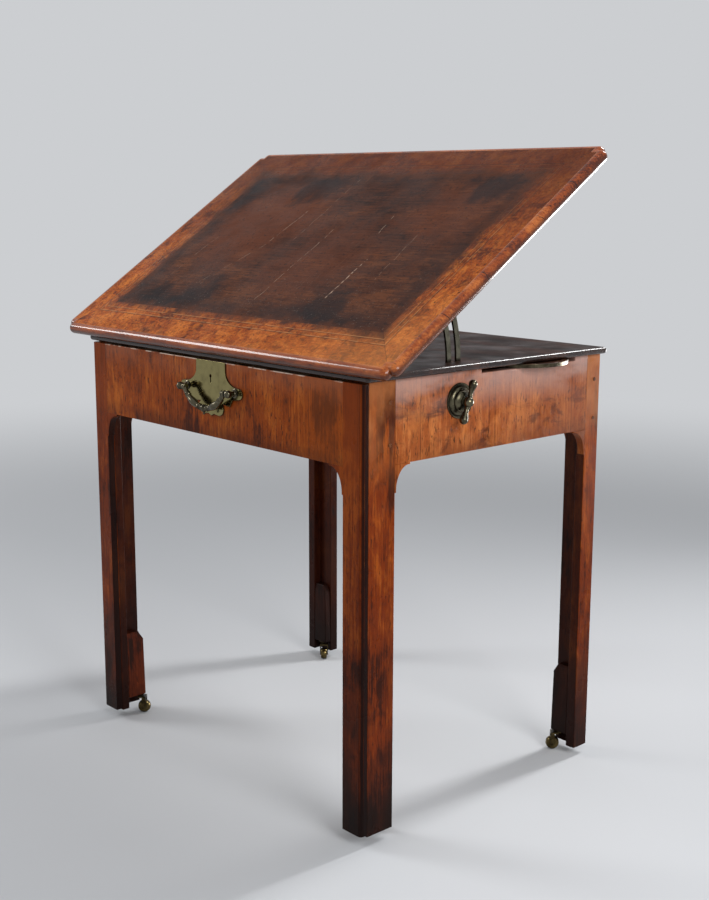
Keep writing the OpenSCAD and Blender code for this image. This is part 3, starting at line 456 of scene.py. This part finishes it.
def leaf_rim(tree, place):
    """Distances of a place on the leaf from its nearest side and from its front or back."""
    axes = add(tree, "SeparateXYZ", [(0, place)]).outputs
    from_side = calc(tree, "SUBTRACT", leaf_half, calc(tree, "ABSOLUTE", axes["X"]))
    from_end = calc(tree, "MINIMUM", calc(tree, "SUBTRACT", axes["Y"], leaf_front),
                    calc(tree, "SUBTRACT", leaf_back, axes["Y"]))
    return from_side, from_end, axes


nose_wood, tree, place = wood("leaf mahogany", paint(88, 34, 12), paint(156, 72, 24), paint(200, 112, 50),
                              grain="X", gloss=0.28, worn=paint(226, 150, 90), rub=0.9)
tree.nodes["Principled BSDF"].inputs["Coat Weight"].default_value = 0.7
tree.nodes["Principled BSDF"].inputs["Coat Roughness"].default_value = 0.1
from_side, from_end, axes = leaf_rim(tree, leaf_place(tree, place))
# Painted shade: the noses darken on their lower, downward-facing half.
lay(tree, paint(66, 28, 11), spread(tree, axes["Z"], 0.0200, 0.0110, to_high=0.85))
split = calc(tree, "ADD", axes["Y"],
             calc(tree, "MULTIPLY", noise(tree, place, (9, 40, 40), detail=2.0), 0.012))
side_nose = spread(tree, from_side, 0.013, 0.009)
cracks = (0.140, 0.245, 0.402, 0.498)
for at in cracks:
    lay(tree, paint(40, 18, 12), calc(tree, "MULTIPLY", line(tree, split, at, width=0.0011), side_nose))
dress(softened("leaf_board", "upper_leaf"), nose_wood, "writing_leaf", "leaf_mahogany", "upper_leaf")


# Cross-banding. Short lengths of veneer round the leaf with their grain across the border,
# mitred at the corners, with a pale string between the outer and the inner band.
def cross_banding(name, dark, middle, light):
    """A band's material: wavy streaks round the border, and each length differs a little."""
    made, tree, place = wood(name, dark, middle, light, gloss=0.3, flecks=1.6, ribbon=0.9)
    flat = leaf_place(tree, place)
    from_side, from_end, axes = leaf_rim(tree, flat)
    beside = calc(tree, "LESS_THAN", from_side, from_end)
    apart = calc(tree, "MULTIPLY", calc(tree, "SUBTRACT", axes["Y"], axes["X"]), beside)
    along = calc(tree, "ADD", axes["X"], apart)
    across = calc(tree, "SUBTRACT", axes["Y"], apart)
    lengths = calc(tree, "ADD", calc(tree, "MULTIPLY", along, 6.3), calc(tree, "MULTIPLY", beside, 9.4))
    chance = add(tree, "TexWhiteNoise", [("W", calc(tree, "FLOOR", lengths))],
                 noise_dimensions="1D").outputs["Value"]
    wave = calc(tree, "MULTIPLY", noise(tree, flat, (16, 16, 16), detail=2.0), 0.035)
    grown = add(tree, "CombineXYZ", [(0, calc(tree, "ADD", across, wave)),
                                     (1, calc(tree, "MULTIPLY", chance, 7.7)),
                                     (2, calc(tree, "MULTIPLY", along, 3.4))])
    for node in tree.nodes:
        if node.type == "GROUP" and node.node_tree == figure:
            tree.links.new(grown.outputs[0], node.inputs["Vector"])
    swirl = spread(tree, noise(tree, flat, (46, 46, 46), detail=5.0, rough=0.66, bend=1.6), 0.44, 0.66)
    lay(tree, paint(222, 128, 50), swirl, share=0.48)
    mottle = spread(tree, noise(tree, flat, (120, 120, 120), detail=4.0, rough=0.62, bend=0.8), 0.50, 0.63)
    lay(tree, paint(88, 38, 13), mottle, share=0.42)
    lay(tree, dark, spread(tree, chance, 0.55, 1.0), share=0.2)
    # Painted shade: the bands darken further up the leaf, away from the front.
    far = calc(tree, "ADD", axes["Y"],
               calc(tree, "MULTIPLY", noise(tree, flat, (9, 9, 9), detail=3.0), 0.12))
    lay(tree, paint(82, 33, 9), spread(tree, far, 0.20, 0.62, to_high=0.8))
    # Painted light: the bands are paler towards the leaf's near right corner.
    corner = calc(tree, "SUBTRACT", axes["X"], calc(tree, "MULTIPLY", axes["Y"], 2.0))
    lay(tree, paint(236, 160, 96), spread(tree, corner, 0.0, 0.44, to_high=0.3))
    rim = calc(tree, "MINIMUM", from_side, from_end)
    ragged = strayed(tree, rim, noise(tree, flat, (26, 26, 26), detail=4.0), 0.06)
    lay(tree, paint(66, 38, 26), spread(tree, ragged, 0.064, 0.096), share=0.8)
    mitre = line(tree, calc(tree, "SUBTRACT", from_side, from_end), 0.0, width=0.0010)
    lay(tree, paint(56, 28, 18), mitre, share=0.45)
    rubbed = spread(tree, noise(tree, flat, (60, 60, 60), detail=3.0), 0.34, 0.54)
    rubbed = calc(tree, "MULTIPLY", rubbed, spread(tree, axes["Y"], 0.52, 0.12, to_low=0.12, to_high=0.9))
    # Each string by its distance from the rim, its width and its share.
    strings = ((0.0600, 0.0018, 0.55), (0.0720, 0.0015, 0.45))
    for at, width, share in strings:
        lay(tree, paint(60, 28, 16), line(tree, rim, at, width=width), share=share)
        string = calc(tree, "MULTIPLY", line(tree, rim, at + 0.0014, width=0.0011), rubbed)
        lay(tree, paint(212, 150, 96), string, share=share + 0.2)
    stains = spread(tree, noise(tree, flat, (14, 14, 14), detail=5.0, rough=0.65), 0.58, 0.74)
    lay(tree, paint(70, 34, 18), stains, share=0.5)
    return made


outer_band = cross_banding("outer banding", paint(96, 38, 9), paint(172, 80, 20), paint(214, 120, 46))
inner_band = cross_banding("inner banding", paint(90, 35, 9), paint(160, 73, 19), paint(202, 110, 42))
finish("crossbanding_outer", outer_band)
finish("crossbanding_inner", inner_band)

# Panel. The dark veneer in the middle of the leaf. Years of writing have left ink stains and
# pale scratches on it, and redder patches where its polish is worn.
scratch, given, result = group(
    "scratch",
    [("X", "Float", 0.0), ("Y", "Float", 0.0), ("At", "Float", 0.0), ("Lean", "Float", 0.0),
     ("Low", "Float", 0.0), ("High", "Float", 0.1), ("Width", "Float", 0.001)],
    [("Mask", "Float")])
up = calc(scratch, "SUBTRACT", given["Y"], given["Low"])
middle = calc(scratch, "ADD", given["At"], calc(scratch, "MULTIPLY", given["Lean"], up))
off = calc(scratch, "ABSOLUTE", calc(scratch, "SUBTRACT", given["X"], middle))
inside = calc(scratch, "MULTIPLY", calc(scratch, "GREATER_THAN", given["Y"], given["Low"]),
              calc(scratch, "LESS_THAN", given["Y"], given["High"]))
near = spread(scratch, calc(scratch, "DIVIDE", off, given["Width"]), 1.0, 0.3)
scratch.links.new(calc(scratch, "MULTIPLY", near, inside), result["Mask"])

stain, given, result = group(
    "stain", [("Vector", "Vector", None), ("Place", "Vector", (0, 0, 0)), ("Reach", "Float", 0.05)],
    [("Mask", "Float")])
off = add(stain, "VectorMath", [(0, given["Vector"]), (1, given["Place"])],
          operation="DISTANCE").outputs["Value"]
ragged = strayed(stain, off, noise(stain, given["Vector"], (24, 24, 24), detail=4.0, rough=0.6), 0.16)
stain.links.new(spread(stain, ragged, given["Reach"], calc(stain, "MULTIPLY", given["Reach"], 0.35)),
                result["Mask"])

panel_wood, tree, place = wood("panel veneer", paint(46, 24, 16), paint(78, 42, 27), paint(106, 60, 35),
                               grain="X", shine=0.06, gloss=0.34, flecks=0.9, ribbon=0.35)
flat = leaf_place(tree, place)
from_side, from_end, axes = leaf_rim(tree, flat)
# Each patch by its place on the leaf, its reach and its share.
worn_patches = (((-0.20, 0.36, 0.022), 0.20, 0.55), ((0.05, 0.24, 0.022), 0.16, 0.35),
                ((0.26, 0.40, 0.022), 0.13, 0.35))
for at, reach, share in worn_patches:
    patch = use(tree, stain, Vector=flat, Place=at, Reach=reach)["Mask"]
    lay(tree, paint(112, 56, 28), patch, share=share)
rim = calc(tree, "MINIMUM", from_side, from_end)
ragged = strayed(tree, rim, noise(tree, flat, (16, 16, 16), detail=4.0), 0.11)
lay(tree, paint(42, 27, 24), spread(tree, ragged, 0.150, 0.092), share=0.55)
# Each stain by its place on the leaf and its reach.
ink_stains = (((-0.169, 0.130, 0.022), 0.070), ((0.194, 0.109, 0.022), 0.075),
              ((-0.283, 0.092, 0.022), 0.055), ((-0.372, 0.440, 0.022), 0.080),
              ((-0.146, 0.480, 0.022), 0.080), ((0.30, 0.48, 0.022), 0.070))
for at, reach in ink_stains:
    spot = use(tree, stain, Vector=flat, Place=at, Reach=reach)["Mask"]
    lay(tree, paint(28, 22, 24), spot, share=0.7)
rubbed_rim = strayed(tree, rim, noise(tree, flat, (34, 34, 34), detail=5.0, rough=0.6), 0.07)
lay(tree, paint(96, 50, 26), spread(tree, rubbed_rim, 0.110, 0.084), share=0.6)
spatter = spread(tree, noise(tree, flat, (130, 130, 130), detail=3.0), 0.58, 0.68)
lay(tree, paint(26, 18, 18), spatter, share=0.55)
low_half = spread(tree, axes["Y"], 0.30, 0.12)
grit = spread(tree, noise(tree, flat, (330, 330, 330), detail=2.0), 0.66, 0.72)
lay(tree, paint(140, 124, 112), calc(tree, "MULTIPLY", grit, low_half), share=0.5)
wavering = strayed(tree, axes["X"], noise(tree, flat, (14, 14, 14), detail=4.0), 0.018)
broken = spread(tree, noise(tree, flat, (90, 70, 90), detail=3.0), 0.42, 0.56)
# Each scratch by its place across the leaf, its lean, its two ends, its width and its share.
scratches = ((-0.129, 0.144, 0.276, 0.396, 0.0011, 0.50), (-0.204, 0.600, 0.152, 0.276, 0.0011, 0.45),
             (0.004, 0.052, 0.106, 0.346, 0.0011, 0.50), (0.174, 0.040, 0.143, 0.258, 0.0017, 0.95),
             (0.143, -0.135, 0.330, 0.384, 0.0012, 0.50), (-0.066, 0.04, 0.30, 0.50, 0.0008, 0.35),
             (0.245, -0.02, 0.20, 0.34, 0.0008, 0.35), (-0.31, 0.1, 0.16, 0.30, 0.0008, 0.3))
for at, lean, low, high, width, share in scratches:
    mark = use(tree, scratch, X=wavering, Y=axes["Y"], At=at, Lean=lean, Low=low, High=high,
               Width=width)["Mask"]
    lay(tree, paint(196, 164, 140), calc(tree, "MULTIPLY", mark, broken), share=share)
fine_scratches = spread(tree, noise(tree, flat, (420, 9, 9), detail=2.0, rough=0.5, bend=0.5), 0.70, 0.76)
lay(tree, paint(150, 116, 92), fine_scratches, share=0.22)
finish("leaf_panel", panel_wood)


# Stay and hinges. A slotted brass quadrant, rubbed pale by the clamp, and plain butt hinges
# let into both leaves.
patina, given, result = group(
    "brass patina",
    [("Vector", "Vector", None), ("Bright", "Color", paint(176, 160, 112)),
     ("Dull", "Color", paint(60, 52, 32)), ("Shine", "Float", 0.5)],
    [("Color", "Color"), ("Roughness", "Float"), ("Height", "Float")])
open_air = add(patina, "AmbientOcclusion", [("Distance", 0.007)], samples=6).outputs["AO"]
clouds = noise(patina, given["Vector"], (70, 70, 70), detail=4.0, rough=0.6)
specks = noise(patina, given["Vector"], (700, 700, 700), detail=2.0)
rubbed = calc(patina, "MULTIPLY", spread(patina, open_air, 0.40, 0.92),
              spread(patina, clouds, calc(patina, "SUBTRACT", 0.64, given["Shine"]),
                     calc(patina, "SUBTRACT", 1.26, given["Shine"])))
patina.links.new(mix(patina, rubbed, given["Dull"], given["Bright"]), result["Color"])
smooth = calc(patina, "ADD", rubbed, calc(patina, "MULTIPLY", specks, 0.3))
patina.links.new(spread(patina, smooth, 0.0, 1.3, to_low=0.38, to_high=0.13), result["Roughness"])
patina.links.new(calc(patina, "ADD", clouds, calc(patina, "MULTIPLY", specks, 0.4)), result["Height"])


def brass(name, bright, dull, shine=0.5):
    """Old brass, from its rubbed and its dull colour."""
    made = bpy.data.materials.new(name)
    made.use_nodes = True
    tree = made.node_tree
    shader = tree.nodes["Principled BSDF"]
    place = add(tree, "TexCoord").outputs["Object"]
    aged = use(tree, patina, Vector=place, Bright=bright, Dull=dull, Shine=shine)
    tree.links.new(aged["Color"], shader.inputs["Base Color"])
    tree.links.new(aged["Roughness"], shader.inputs["Roughness"])
    bump = add(tree, "Bump", [("Strength", 0.3), ("Distance", 0.0002), ("Height", aged["Height"])])
    tree.links.new(bump.outputs[0], shader.inputs["Normal"])
    shader.inputs["Metallic"].default_value = 1.0
    return made


stay_brass = brass("stay brass", paint(122, 118, 102), paint(40, 37, 30), shine=0.56)
hinge_brass = brass("hinge brass", paint(96, 84, 56), paint(34, 28, 19), shine=0.35)
dress(softened("slotted_stay", "quadrant_stay", width=0.0004), stay_brass, "writing_leaf", "stay_brass",
      "quadrant_stay")
finish("clamp_wear_plate", stay_brass)
finish("clamp_bolt", stay_brass)
for node in ("hinge_plates_lower", "hinge_plates_upper", "hinge_pins"):
    finish(node, hinge_brass)


# Clamp. A turned rosette screwed to the rail, and a nut with a ball and a two-knobbed bar
# that draws the stay tight.
def ball(middle, size, below, above, steps=12):
    """Heights and radii of a turned ball between two angles from its equator, in degrees."""
    made = []
    for step in range(steps + 1):
        angle = math.radians(below + (above - below) * step / steps)
        made.append((middle + size * math.sin(angle), max(size * math.cos(angle), 0.00012)))
    return made


def turned(name, profile, foot, aim, sides=48):
    """A turned piece from heights and radii, which stands on a foot and points along aim."""
    bpy.ops.object.select_all(action="DESELECT")
    bpy.ops.mesh.primitive_circle_add(vertices=sides, radius=profile[0][1], fill_type="NGON",
                                      location=(0, 0, profile[0][0]))
    made = bpy.context.object
    made.name = name
    bpy.ops.object.transform_apply()
    bpy.ops.object.mode_set(mode="EDIT")
    bpy.ops.mesh.select_all(action="SELECT")
    for (low, wide), (high, next_wide) in zip(profile, profile[1:]):
        bpy.ops.mesh.extrude_region_move(TRANSFORM_OT_translate={"value": (0, 0, high - low)})
        ratio = next_wide / wide
        bpy.ops.transform.resize(value=(ratio, ratio, 1), center_override=(0, 0, high))
    bpy.ops.mesh.select_all(action="SELECT")
    bpy.ops.mesh.normals_make_consistent(inside=False)
    bpy.ops.object.mode_set(mode="OBJECT")
    made.matrix_world = Matrix.Translation(foot) @ Vector(aim).to_track_quat("Z", "Y").to_matrix().to_4x4()
    bpy.ops.object.transform_apply()
    bpy.ops.object.shade_smooth_by_angle(angle=math.radians(38))
    return made


def joined(name, *pieces):
    """Several shapes joined in one piece."""
    bpy.ops.object.select_all(action="DESELECT")
    for piece in pieces:
        piece.select_set(True)
    bpy.context.view_layer.objects.active = pieces[0]
    bpy.ops.object.join()
    pieces[0].name = name
    return pieces[0]


clamp_brass = brass("clamp brass", paint(108, 102, 82), paint(10, 9, 8), shine=0.50)
rail_face = 0.390
neck_foot = 0.3968
bar_out = 0.410
clamp_at = (-0.06769, 0.722)
rings = [(0, 0.0300), (0.0014, 0.0300), (0.0022, 0.0295), (0.0024, 0.0285), (0.0019, 0.0273),
         (0.0012, 0.0264), (0.0010, 0.0254), (0.0020, 0.0247), (0.0036, 0.0239), (0.0050, 0.0226),
         (0.0060, 0.0207), (0.0064, 0.0187), (0.0061, 0.0165), (0.0051, 0.0146), (0.0038, 0.0133),
         (0.0036, 0.0126), (0.0048, 0.0119), (0.0060, 0.0106), (0.0065, 0.0090), (0.0065, 0.0060)]
rosette = turned("rosette", rings, (rail_face, *clamp_at), (1, 0, 0), sides=64)
dress(rosette, clamp_brass, "carcass", "rosette_brass", "clamp_rosette")
cup = [(0, 0.0176), (0.0006, 0.0183), (0.0016, 0.0180), (0.0033, 0.0160), (0.0045, 0.0138),
       (0.0054, 0.0115), (0.0061, 0.0090), (0.0064, 0.0076)]
cup += ball(0.0132, 0.0093, below=-41, above=90, steps=14)
neck = turned("clamp_neck", cup, (neck_foot, *clamp_at), (1, 0, 0), sides=64)
half_bar = ball(-0.0305, 0.0073, below=-90, above=20, steps=12)
half_bar += [(-0.0258, 0.0065), (-0.0230, 0.0056), (-0.0200, 0.0048), (-0.0170, 0.0042),
             (-0.0145, 0.0038), (-0.0120, 0.0038), (-0.0108, 0.0048), (-0.0096, 0.0048),
             (-0.0088, 0.0040)]
whole_bar = half_bar + [(-height, radius) for height, radius in reversed(half_bar)]
lean = math.radians(20)
bar = turned("clamp_bar", whole_bar, (bar_out, *clamp_at), (0, math.sin(lean), math.cos(lean)))
dress(joined("clamp_handle_turned", neck, bar), clamp_brass, "clamp", "rosette_brass", "clamp_handle")

# Candle stand. A thin round tray on an arm, which swings out of a notch in the right rail,
# with a brass rim and a pin that hangs it under the lower leaf.
tray_wood = wood("tray mahogany", paint(34, 20, 15), paint(60, 36, 26), paint(86, 54, 38), grain="Y",
                 gloss=0.34)[0]
rim_brass = brass("rim brass", paint(122, 112, 90), paint(36, 31, 23), shine=0.42)
dress(softened("tray_board", "candle_tray", width=0.0006), tray_wood, "candle_stand", "tray_mahogany",
      "candle_tray")
dress(softened("tray_rim", "candle_tray_rim", width=0.0005), rim_brass, "candle_stand", "rim_brass",
      "candle_tray_rim")
finish("candle_pivot", rim_brass)

# Drawer front and its sliding legs. The front is faced with upright veneers. The front faces
# of the two front legs are fixed to it and slide out with it.
front_wood, tree, place = wood("drawer front mahogany", paint(78, 30, 6), paint(142, 62, 9),
                               paint(178, 92, 26), flecks=1.4, ribbon=0.3)
axes = add(tree, "SeparateXYZ", [(0, place)]).outputs
veneer_joints = (-0.232, -0.105, 0.118, 0.262)
for at in veneer_joints:
    lay(tree, paint(52, 24, 14), line(tree, axes["X"], at, width=0.0010), share=0.6)
# Partly cloudy polish and partly a painted sheen: the front's top is paler and greyer.
bloom_and_sheen = veil(tree, place, 0.715, 0.768, scale=(7, 7, 16))
lay(tree, paint(158, 100, 76), bloom_and_sheen, share=0.45)
lay(tree, paint(56, 24, 12), veil(tree, place, 0.67, 0.636), share=0.6)
# Painted light: the front is paler towards its right end.
lay(tree, paint(172, 86, 20), spread(tree, axes["X"], 0.18, 0.28, to_high=0.2))
# Painted shadow: the front darkens close to the lock plate and the other fittings.
open_air = add(tree, "AmbientOcclusion", [("Distance", 0.006)], samples=6).outputs["AO"]
lay(tree, paint(22, 11, 8), spread(tree, open_air, 0.92, 0.62, to_high=0.85))
# Painted highlight: a broken pale line along the front's top arris.
top_edge_highlight = calc(tree, "MULTIPLY", line(tree, axes["Z"], 0.7676, width=0.0012),
               spread(tree, noise(tree, place, (40, 40, 40), detail=4.0), 0.42, 0.56))
lay(tree, paint(214, 190, 172), top_edge_highlight)
dress(softened("front_board", "drawer_front", width=0.0010), front_wood, "drawer", "front_mahogany",
      "drawer_front")
slide_wood, tree, place = wood("sliding leg mahogany", paint(50, 17, 4), paint(108, 40, 4),
                               paint(146, 68, 16))
# Painted light: the sliding legs are paler towards their tops.
high = veil(tree, place, 0.54, 0.70, soft=(0.10, 0.42))
lay(tree, paint(142, 62, 10), high, share=0.48)
lay(tree, paint(36, 19, 14), veil(tree, place, 0.50, 0.04), share=0.85)
foot = veil(tree, place, 0.17, 0.03, soft=(0.05, 0.30))
lay(tree, paint(18, 10, 8), foot, share=0.88)
# Painted shade: the sliding legs' side faces are near black.
side_on = calc(tree, "ABSOLUTE",
               add(tree, "SeparateXYZ", [(0, add(tree, "NewGeometry").outputs["Normal"])]).outputs["X"])
lay(tree, paint(20, 6, 4), spread(tree, side_on, 0.35, 0.8), share=0.93)
for node in ("sliding_leg_left", "sliding_leg_right", "sliding_brackets"):
    dress(softened("board_" + node, node, width=0.0008), slide_wood, "drawer", "slide_mahogany", node)
for node in ("drawer_side_left", "drawer_side_right", "drawer_back", "drawer_bottom"):
    finish(node, oak)

# Lock and its plate. A shaped plate of sheet brass, polished flat and gone olive, with the
# lock's case and bolt behind it.
plate_brass = brass("plate brass", paint(142, 132, 88), paint(82, 74, 46), shine=0.66)
case_brass = brass("lock brass", paint(140, 126, 84), paint(60, 52, 34), shine=0.4)
dress(softened("shaped_lock_plate", "lock_plate", width=0.0005), plate_brass, "drawer", "handle_brass",
      "lock_plate")
finish("lock_case", case_brass)
finish("lock_bolt", case_brass)

# Drop handle. Two turned posts through the plate, and a cast brass bail that hangs between
# them, with a ball and a finial in its middle and a beaded swelling on each side.
handle_brass = brass("handle brass", paint(112, 105, 86), paint(8, 7, 6), shine=0.50)
post_x = 0.070
post_z = 0.719
plate_face = -0.286
stem_front = -0.2852
bail_y = -0.301
knob = [(0, 0.0080), (0.0012, 0.0080), (0.0018, 0.0070), (0.0022, 0.0052), (0.0034, 0.0044),
        (0.0060, 0.0040), (0.0074, 0.0046)]
knob += ball(0.0150, 0.0070, below=-48, above=90, steps=14)
posts = []
for x in (-post_x, post_x):
    posts.append(turned("post", knob, (x, plate_face, post_z), (0, -1, 0)))
stems = softened("post_stems", "handle_posts")
bpy.ops.object.mode_set(mode="EDIT")
bpy.ops.mesh.select_all(action="SELECT")
bpy.ops.mesh.bisect(plane_co=(0, stem_front, 0), plane_no=(0, -1, 0), clear_outer=True, use_fill=True)
bpy.ops.object.mode_set(mode="OBJECT")
dress(joined("turned_posts", stems, *posts), handle_brass, "drawer", "handle_brass", "handle_posts")

bail_reach = 0.058
bail_drop = 0.032
bail_under = 0.0062
bail_curve = (bail_reach ** 2 + bail_drop ** 2) / (2 * bail_drop)
bail_half = bail_curve * math.asin(bail_reach / bail_curve)
# Each bead by its distance from the middle, its radius and its half length.
beads = ((0.0, 0.0069, 0.0066), (0.0105, 0.0062, 0.0020), (0.0145, 0.0056, 0.0016),
         (0.0500, 0.0062, 0.0018), (0.0550, 0.0058, 0.0016))
bar_radius = 0.0045
swelling = 0.0023
swell_at = 0.032
swell_reach = 0.012
steps = 96
swell = []
for step in range(steps + 1):
    along = -bail_half + 2 * bail_half * step / steps
    off = abs(along)
    radius = bar_radius + swelling * math.exp(-((off - swell_at) / swell_reach) ** 2)
    for middle, size, thin in beads:
        reach = abs(off - middle) / thin
        if reach < 1:
            radius = max(radius, size * math.sqrt(1 - reach * reach))
    swell.append((along, radius))
bail = turned("bail_bar", swell, (0, 0, 0), (0, 0, 1), sides=20)
for vertex in bail.data.vertices:
    turn = vertex.co.z / bail_curve
    out = bail_curve + vertex.co.x
    vertex.co = (out * math.sin(turn), bail_y + vertex.co.y,
                 post_z - bail_drop + bail_curve - out * math.cos(turn))
drop = [(0, 0.0030), (0.0012, 0.0016)]
drop += ball(0.0034, 0.0022, below=-45, above=90, steps=8)
drop_foot = (0, bail_y, post_z - bail_drop - bail_under)
finial = turned("bail_finial", drop, drop_foot, (0, 0, -1), sides=20)
collar = [(-0.0050, 0.0042), (-0.0044, 0.0056), (-0.0030, 0.0060), (-0.0022, 0.0050),
          (-0.0010, 0.0056), (0.0010, 0.0056), (0.0022, 0.0050), (0.0030, 0.0060),
          (0.0044, 0.0056), (0.0050, 0.0040), (0.0051, 0.0022), (0.0190, 0.0022)]
collars = []
for side in (-1, 1):
    foot = (side * bail_reach, bail_y, post_z)
    collars.append(turned("bail_collar", collar, foot, (side, 0, 0), sides=24))
handle = joined("bail_cast", bail, finial, *collars)
bpy.ops.object.mode_set(mode="EDIT")
bpy.ops.mesh.select_all(action="SELECT")
bpy.ops.mesh.normals_make_consistent(inside=False)
bpy.ops.object.mode_set(mode="OBJECT")
dress(handle, handle_brass, "bail", "handle_brass", "drop_handle")

# Casters. Small brass wheels in swivelling forks under the corner blocks, dull with grime
# and rubbed bright on their treads.
caster_brass = brass("caster brass", paint(98, 84, 54), paint(30, 25, 17), shine=0.42)
wheel_brass = brass("wheel brass", paint(112, 97, 62), paint(34, 28, 18), shine=0.50)
finish("caster_plates", caster_brass)
for corner in ("front_left", "front_right", "rear_left", "rear_right"):
    dress(softened("fork_casting_" + corner, "caster_fork_" + corner, width=0.0005), caster_brass,
          "fork_" + corner, "caster_brass", "caster_fork_" + corner)
    finish("caster_axle_" + corner, caster_brass)
    finish("caster_wheel_" + corner, wheel_brass)
